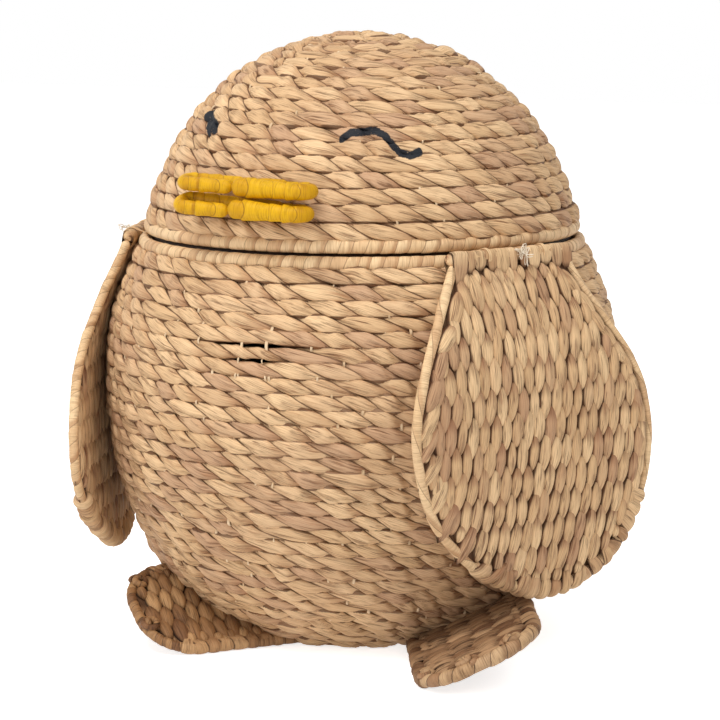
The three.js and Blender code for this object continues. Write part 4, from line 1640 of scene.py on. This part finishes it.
@dataclass
class Wing(Mirrored):
    """A flat woven wing that hangs from a straight top roll.

    The front and back shares are places on its outline as (across, down), parts of the half width and of the drop,
    from the front end of the top roll round the bottom to its back end. The fold shares are where the bottom folds
    start and stop on that line. The edge strip is the width and lean of the strip on the bound edges, and the tabs
    are the bulge and cover of the bottom folds. The spacing of a tie's threads is in mm.
    """

    finishes: Finishes
    basket: Basket
    side: Side
    front_shares: Pairs
    bearing: float = math.radians(67.5)
    half_width: float = 109 * MM
    drop: float = 236 * MM
    roll: float = 4.2 * MM
    lift: float = 3.8 * MM
    thickness: float = 7.4 * MM
    inward: float = 4 * MM
    fold_shares: Pair = (0.385, 0.7)
    edge_strip: Pair = (30 * MM, 2.0)
    edge_size: float = 0.8
    back_edge_size: float = 0.82
    tabs: Pair = (2.4 * MM, 1.04)
    tab_radius: float = 4.9 * MM
    tab_core: WoundRoll = WoundRoll(3.9 * MM)
    top_width: float = 9.6 * MM
    top_gap: float = 0.3 * MM
    front_end: float = 3 * MM
    top_core_end: float = 1.6 * MM
    corner_gap: float = 1.0 * MM
    corner_lift: float = 0.7 * MM
    tie_offset: float = 25 * MM
    tie_reach: float = 5.6 * MM
    tie_threads: int = 4
    tie_spacing: float = 0.75
    tie_thread: LooseThread = LooseThread(radius=0.4 * MM)
    tuft_threads: int = 14
    tuft_thread: LooseThread = LooseThread(radius=0.3 * MM)
    woven: WovenField = WovenField()
    leans: tuple[tuple[float, ...], tuple[float, ...]] = ((0.1, 0.45, 0.95), (-0.04, 0.04, 0.3))
    seat_shares: tuple[float, ...] = (0.68, 0.76, 0.84, 0.9, 0.955)
    back_shares: Pairs = (
        (0.08, 1), (0.45, 0.975), (0.72, 0.9), (0.92, 0.76), (1, 0.59),
        (0.96, 0.45), (0.85, 0.33), (0.66, 0.2), (0.52, 0.1), (0.44, 0),
    )

    def __post_init__(self) -> None:
        """Finds the hinge, the section, the outline and the span."""
        self.out, self.round_way = bearing_axes(self.bearing)
        basket = self.basket
        reach = basket.mouth_roll + self.roll + basket.clearance
        out = basket.mouth[0] + math.sqrt(reach**2 - self.lift**2)
        self.hinge = np.array([out, basket.mouth[1] + self.lift])
        off = basket.clearance + self.thickness / 2
        outline = basket.outline
        seats = [
            outline.offset(outline.share_at_height(basket.height * share), off) for share in self.seat_shares
        ]
        bottom = self.hinge[1] - self.drop
        free = [
            (seats[0][0] - self.inward * share**2, seats[0][1] + (bottom - seats[0][1]) * share)
            for share in (1, 0.75, 0.5, 0.25)
        ]
        self.section = Outline([*free, *seats, self.hinge])
        shares = (*self.front_shares, *self.back_shares)
        self.outline = Outline(
            [(self.half_width * across, self.hinge[1] - self.drop * down) for across, down in shares]
        )
        self.name = self.body = f"wing_{self.side.name.lower()}"
        self.span = (-1.12 * self.half_width, 1.0 * self.half_width)
        self.seed = 40 + 10 * self.side.value

    def place(self, height: Array, across: Array, lift: Array) -> Array:
        """Points on the wing, or above it.

        Args:
            height: Heights.
            across: Places from the middle, towards the bird's back.
            lift: Distances outward from the middle of the panel.

        Returns:
            The points on the bird's left side.
        """
        height, across, lift = np.broadcast_arrays(height, across, lift)
        share = np.interp(height, self.section.points[:, 1], self.section.shares)
        flat, along = self.section.at(share)
        reach = flat[..., 0] + lift * along[..., 1]
        level = height - lift * along[..., 0]
        return reach[..., None] * self.out + across[..., None] * self.round_way + level[..., None] * UP

    def chord(self, across: float) -> Pair:
        """Lowest and highest point inside the edge roll at a place across the wing."""
        edge = self.outline.offset(np.linspace(0, 1, 400), -2 * self.roll)
        sign = np.sign(edge[:, 0] - across)
        index = np.nonzero(sign[:-1] * sign[1:] < 0)[0]
        inside = edge[[0, -1], 0]
        heights = [float(edge[i, 1]) for i in index]
        if inside[0] < across < inside[1]:
            heights.append(float(self.hinge[1] - 2 * self.roll))
        return (min(heights), max(heights)) if len(heights) > 1 else (0.0, 0.0)

    def edge_run(self, start: float, stop: float) -> tuple[Array, Array]:
        """The outer edge between two shares, as places along and across, and the unit directions into the wing."""
        points, way = self.outline.at(np.linspace(start, stop, 240))
        return points[:, ::-1], np.stack([way[:, 0], -way[:, 1]], -1)

    def lean(self, height: float, across: float) -> float:
        """The leaves' angle, which grows towards the bottom."""
        return float(np.interp((self.hinge[1] - height) / self.drop, *self.leans))

    def build(self) -> None:
        """Builds every piece of the wing."""
        self.build_weave()
        self.lay_core(self.outline.offset(np.linspace(0.004, 0.996, 160), -self.roll), 24, self.finishes.core)
        self.bind_sides()
        self.fold_bottom()
        self.fold_top()
        rng = self.draws(9)
        self.tie_roll(rng)
        self.leave_tuft(rng)

    def build_weave(self) -> None:
        """Weaves both faces."""
        draft = Draft()
        for face in (1, -1):
            rng = self.draws(face)
            self.woven.fill(draft, self, face, rng, 3 + face)
            self.add_front_leaves(draft, face, rng)
            self.add_back_leaves(draft, face, rng)
        self.settle(draft, "weave", self.finishes.weave, Slot.ROPE, f"{self.name}_panel")

    def add_front_leaves(self, draft: Draft, face: int, rng: Rng) -> None:
        """Adds the broad slanted leaves down the front edge. The far wing's inner face shows none.

        Args:
            draft: Takes the mesh.
            face: 1 for the outer face, -1 for the inner one.
            rng: Source of their unevenness.
        """
        edge, inward = self.edge_run(0.05, self.fold_shares[0] + 0.01)
        height = edge[0, 0] if self.side is Side.LEFT or face > 0 else edge[-1, 0]
        while height > edge[-1, 0] + 6 * MM:
            index = int(np.argmin(np.abs(edge[:, 0] - height)))
            centre = edge[index] + inward[index] * (2 * self.roll + 4.4 * MM)
            wide, half = 6.3 * MM * (1 + 0.1 * rng.normal()), 15.5 * MM * (1 + 0.08 * rng.normal())
            angle = 0.62 + 0.1 * rng.normal()
            number = FRONT_LEAVES + 100 * face + int(height / MM / 10)
            self.woven.leaf(draft, self.place, tuple(centre), half, wide, angle, 0.7 * MM, face, number)
            height -= self.woven.band * (1 + 0.06 * rng.normal())

    def add_back_leaves(self, draft: Draft, face: int, rng: Rng) -> None:
        """Adds the small leaves that follow the back edge.

        Args:
            draft: Takes the mesh.
            face: 1 for the outer face, -1 for the inner one.
            rng: Source of their unevenness.
        """
        edge, inward = self.edge_run(self.fold_shares[1] - 0.02, 0.985)
        for index in range(4, len(edge), 17):
            centre = edge[index] + inward[index] * (1.6 * self.roll + 4.0 * MM + rng.normal(0, 0.4 * MM))
            ahead = np.array([inward[index][1], -inward[index][0]])
            ahead = ahead * np.sign(ahead[0])
            angle = math.atan2(ahead[1], ahead[0]) + 0.06 * rng.normal()
            number = BACK_LEAVES + 50 * face + index
            self.woven.leaf(draft, self.place, tuple(centre), 13 * MM, 4.8 * MM, angle, 0.0, face, number)

    def bind_sides(self) -> None:
        """Winds a strip round the front edge and a thinner one round the back edge."""
        draft = Draft()
        strip, lean = self.edge_strip
        for start, stop, size in (
            (0.004, self.fold_shares[0] + 0.01, 1.0),
            (self.fold_shares[1] - 0.01, 0.996, self.back_edge_size),
        ):
            edge = self.outline.offset(np.linspace(start, stop, 160), -self.roll * size * self.edge_size)
            roll = WoundRoll(
                self.roll * size * self.edge_size, strip=strip, lean=lean, swell=0.1, lap=0.8, steps=24
            )
            roll.along(draft, self.middle(edge), self.out, self.draws(5), 5)
        self.settle(draft, "binding", self.finishes.strip, Slot.STRIP, f"{self.name}_edge")

    def fold_bottom(self) -> None:
        """Folds the strands over the bottom edge, with a roll under the folds."""
        draft = Draft()
        edge, inward = self.edge_run(*self.fold_shares)
        bulge, cover = self.tabs
        folds = FoldedEdge(radius=self.tab_radius, deep=15 * MM, bulge=bulge, cover=cover)
        folds.along(draft, self.place, edge, inward, self.draws(6), 6)
        path = self.middle(self.outline.offset(np.linspace(*self.fold_shares, 160), -self.tab_radius))
        self.tab_core.along(draft, path, self.out, self.draws(6), 10)
        self.settle(draft, "bottom_folds", self.finishes.fold, Slot.ROPE, f"{self.name}_edge")

    def fold_top(self) -> None:
        """Folds the strands over the top roll, with one broad fold at the near wing's front corner."""
        draft = Draft()
        front = self.front_shares[0][0] * self.half_width - self.side.value * self.front_end
        back = self.back_shares[-1][0] * self.half_width
        count = 60
        across = np.linspace(back + 2 * MM, front, count)
        edge = np.stack([np.full(count, self.hinge[1] + self.roll + self.top_gap), across], -1)
        inward = np.tile([-1.0, 0.0], (count, 1))
        ends = np.linspace(back, front - self.top_core_end, count)
        path = self.place(edge[:, 0] - self.roll, ends, np.zeros(count))
        core = WoundRoll(self.roll * 1.12, strip=self.top_width)
        core.along(draft, path, self.out, self.draws(7), 9)
        folds = FoldedEdge(
            radius=self.roll + self.top_gap, width=self.top_width, deep=16 * MM, bulge=1.0 * MM, skew=0.0
        )
        folds.along(draft, self.place, edge, inward, self.draws(7), 7)
        if self.side is Side.LEFT:
            corner = edge[-9:] + [self.corner_lift, 0]
            fold = FoldedEdge(
                radius=self.roll + self.corner_gap, width=14 * MM, deep=23 * MM, bulge=1.2 * MM, skew=-0.1, spread=0
            )
            fold.along(draft, self.place, corner, inward[-9:], self.draws(8), 8)
        self.settle(draft, "top_folds", self.finishes.fold, Slot.ROPE, f"{self.name}_roll")

    @staticmethod
    def half_loop(centre: Array, radius: float, start: float) -> Array:
        """Half a circle about a flat point, a quarter turn to each side of an angle."""
        turn = np.linspace(-math.pi / 2, math.pi / 2, 14)
        return centre + radius * np.stack([np.cos(turn + start), np.sin(turn + start)], -1)

    def tie_roll(self, rng: Rng) -> None:
        """Loops the threads that hold the top roll to the mouth, two ties that stay on the basket."""
        out, round_way = self.out, self.round_way
        mouth = self.basket.mouth
        for end, sideways in (("front", -self.tie_offset), ("back", self.tie_offset)):
            draft = Draft()
            inner = np.array([math.sqrt(mouth[0] ** 2 - self.tie_offset**2), mouth[1]])
            lean = math.atan2(self.hinge[1] - inner[1], self.hinge[0] - inner[0])
            for thread in range(self.tie_threads):
                radius = self.tie_reach + rng.normal(0, 0.1 * MM)
                halves = [self.half_loop(self.hinge, radius, lean), self.half_loop(inner, radius, lean + math.pi)]
                loop = np.concatenate(halves)
                loop = np.concatenate([loop, loop[:2]])
                wave = 0.3 * MM * np.sin(np.linspace(0, 7, len(loop)) + thread)
                place = sideways + (thread - (self.tie_threads - 1) / 2) * self.tie_spacing * MM + wave
                path = loop[:, :1] * out + loop[:, 1:] * UP + place[:, None] * round_way
                self.tie_thread.along(draft, path, thread)
            tie = f"{self.name}_tie_{end}"
            self.settle(draft, f"thread_{end}", self.finishes.strip, Slot.THREAD, tie, body="basket")

    def leave_tuft(self, rng: Rng) -> None:
        """Leaves the loose ends of the thread on the top roll, as a tuft of short curls."""
        out, round_way = self.out, self.round_way
        draft = Draft()
        top = out * (self.hinge[0] + 5.6 * MM) + UP * (self.hinge[1] + 3 * MM) + round_way * 2 * MM
        for thread in range(self.tuft_threads):
            way = rng.normal(0, 1, 3) * 0.5 + out * 0.6 - UP * 0.9
            bend = rng.normal(0, 1, (5, 3)) * 1.2 * MM
            steps = np.linspace(0, 1, 14)[:, None]
            curl = sum(bend[k] * np.sin((k + 1) * 1.9 * steps + k) for k in range(5))
            path = top + steps * way * rng.uniform(2, 5) * MM + curl - curl[:1]
            self.tuft_thread.along(draft, path, thread)
        self.settle(draft, "thread_tuft", self.finishes.thread, Slot.THREAD)


@dataclass
class Foot(Mirrored):
    """A flat woven foot sewn under the belly.

    The toe share is the size of the roll at the toe, as a part of the roll of the edge. The knots are the coiled
    strand ends on the toe, each with its place along it and its size.
    """

    side: Side
    pad_finish: Material
    rim_finish: Material
    toe_finish: Material
    core_finish: Material
    yaw: float
    reach: float
    front: float
    rise: float
    width: float = 93 * MM
    corner: float = 33 * MM
    roll: float = 5 * MM
    root: float = 66 * MM
    toe_strip: float = 6.5 * MM
    toe_share: float = 0.7
    bulge: float = 0.8 * MM
    knots: Pairs = ((0.33, 6 * MM), (0.8, 6 * MM))
    knot_turn: float = 2.9 * math.pi
    knot_strand: WoundRoll = WoundRoll(2.4 * MM, strip=15 * MM, lean=0.5, swell=0.1)
    weave: WovenField = WovenField(band=16.6 * MM, length=27 * MM, spacing=9.8 * MM, width=11.6 * MM, rise=5 * MM)

    def __post_init__(self) -> None:
        """Finds the foot's own axes, its span and its edge."""
        self.out, round_way = bearing_axes(self.yaw)
        self.across = round_way * math.cos(self.rise) + UP * math.sin(self.rise)
        self.normal = np.cross(self.out, self.across)
        self.origin = round_way * (self.roll - self.front) + UP * self.roll
        self.name, self.body = f"foot_{self.side.name.lower()}", "basket"
        self.inner_width = self.width - 2 * self.roll
        self.span = (self.root, self.reach - self.roll * (2 * self.toe_share - 0.6))
        self.turn = self.reach - self.roll - self.corner
        self.seed = 80 + 10 * self.side.value
        outer = self.edge(-self.roll)
        way = unit(np.gradient(outer, axis=0))
        inward = np.stack([-way[:, 1], way[:, 0]], -1)
        run = run_of(outer)
        even = np.linspace(0, run[-1], 400)
        self.outer, self.inward = sample(even, run, outer), unit(sample(even, run, inward))
        toe = np.nonzero(self.outer[:, 0] > self.reach - self.corner * 0.8)[0]
        self.first, self.last = int(toe[0]), int(toe[-1])

    def place(self, across: Array, along: Array, lift: Array) -> Array:
        """Points on the foot, or above it, on the bird's left side."""
        across, along, lift = np.broadcast_arrays(across, along, lift)
        flat = along[..., None] * self.out + across[..., None] * self.across
        return self.origin + flat + lift[..., None] * self.normal

    def edge(self, inset: float) -> Array:
        """The foot's edge in (along, across), from its root along the front, round the toe and back."""
        size = self.corner - inset
        far = self.inner_width - self.corner
        bend = np.linspace(0, math.pi / 2, 20)
        points = [(self.root, inset)]
        points += [(self.turn + size * math.sin(a), self.corner - size * math.cos(a)) for a in bend]
        points += [(self.turn + size * math.cos(a), far + size * math.sin(a)) for a in bend]
        points += [(self.root, self.inner_width - inset)]
        return np.array(points)

    def chord(self, along: float) -> Pair:
        """Lowest and highest place across the foot, inside its edge roll, at a place along it."""
        inset = self.roll * (2 * self.toe_share - 1)
        edge = self.edge(inset)
        size = self.corner - inset
        short = along - self.turn
        if short > size:
            return 0.0, 0.0
        cut = size - math.sqrt(size**2 - short**2) if short > 0 else 0.0
        return float(edge[0, 1] + cut), float(edge[-1, 1] - cut)

    def lean(self, across: float, along: float) -> float:
        """The leaves' angle, as the strands lie straight across the foot."""
        return 0.0

    def build(self) -> None:
        """Builds every piece of the foot."""
        self.build_weave()
        self.lay_core(self.edge(0.3 * self.roll), 12, self.core_finish)
        self.fold_sides()
        self.bind_toe()

    def build_weave(self) -> None:
        """Weaves both faces."""
        draft = Draft()
        for face in (1, -1):
            self.weave.fill(draft, self, face, self.draws(face), 3 + face)
        self.settle(draft, "weave", self.pad_finish, Slot.ROPE, f"{self.name}_pad")

    def fold_sides(self) -> None:
        """Folds the strands over the two sides, with a roll under the folds."""
        draft = Draft()
        radius = self.roll * (0.25 + 0.75 * self.toe_share)
        folds = FoldedEdge(radius=radius, width=10 * MM, deep=15 * MM, skew=0.1, bulge=self.bulge, cover=1.06)
        for number, part in ((6, slice(0, self.first + 6)), (7, slice(self.last - 6, 400))):
            outer, inward = self.outer[part], self.inward[part]
            rng = self.draws(number)
            folds.along(draft, self.place, outer[:, ::-1], inward[:, ::-1], rng, number)
            WoundRoll(self.roll * 0.86).along(draft, self.middle(outer + inward * self.roll), self.normal, rng, 9)
        self.settle(draft, "side_folds", self.rim_finish, Slot.ROPE, f"{self.name}_edge")

    def bind_toe(self) -> None:
        """Winds a strip round the toe's edge and coils the strand ends on it."""
        draft = Draft()
        first, last = self.first, self.last
        core = self.outer + self.inward * self.roll * self.toe_share * 1.08
        roll = WoundRoll(self.roll * self.toe_share, strip=self.toe_strip, lean=0.8, swell=0.16)
        roll.along(draft, self.middle(core[first - 4 : last + 5]), self.normal, self.draws(5), 5)
        for knot, (share, size) in enumerate(self.knots):
            index = round(first + share * (last - first))
            turn = np.linspace(0, self.knot_turn, 60)
            coil = np.interp(turn, [0, turn[-1]], [size, 1.6 * MM])
            centre = core[index] + self.inward[index] * (size - 3 * MM)
            way = turn * (-1) ** knot + 1.3 * knot
            across, along = centre[1] + coil * np.cos(way), centre[0] + coil * np.sin(way)
            path = self.place(across, along, np.interp(turn, [0, turn[-1]], [3.2 * MM, 6.2 * MM]))
            self.knot_strand.along(draft, path, self.normal, self.draws(8 + knot), 8)
        self.settle(draft, "toe_binding", self.toe_finish, Slot.STRIP, f"{self.name}_edge")


NEAR_WING_FRONT = (
    (-0.5, 0), (-0.73, 0.14), (-0.92, 0.3), (-1, 0.46), (-0.95, 0.61), (-0.83, 0.74), (-0.58, 0.86), (-0.3, 0.945),
)
FAR_WING_FRONT = (
    (-0.36, 0), (-0.4, 0.1), (-0.55, 0.2), (-0.8, 0.3), (-1.04, 0.46),
    (-1.1, 0.61), (-0.99, 0.74), (-0.68, 0.86), (-0.3, 0.945),
)
NEAR_KNOTS = ((0.02, 5 * MM), (0.42, 8 * MM), (0.78, 7 * MM))


def main() -> None:
    """Dresses the basket and lights it. The near side is the bird's left."""
    logging.basicConfig(level=logging.INFO, format="%(name)s: %(message)s")
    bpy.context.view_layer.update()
    Studio().build()
    finishes = Finishes()
    basket = Basket(finishes)
    basket.build()
    Lid(finishes).build()
    Wing(finishes, basket, Side.LEFT, NEAR_WING_FRONT).build()
    Wing(
        finishes, basket, Side.RIGHT, FAR_WING_FRONT,
        fold_shares=(0.33, 0.7), edge_strip=(11 * MM, 1.2), tabs=(3.6 * MM, 0.98),
    ).build()
    Foot(
        Side.LEFT, finishes.near_foot, finishes.near_foot, finishes.toe_strip, finishes.core,
        yaw=math.radians(31), reach=232 * MM, front=-28 * MM, rise=math.radians(25),
        toe_strip=12 * MM, toe_share=0.92, bulge=1.4 * MM, knots=NEAR_KNOTS,
    ).build()
    Foot(
        Side.RIGHT, finishes.foot, finishes.foot_rim, finishes.foot_strip, finishes.core,
        yaw=math.radians(36.5), reach=187 * MM, front=61 * MM, rise=math.radians(28.5),
    ).build()


if __name__ == "__main__":
    main()
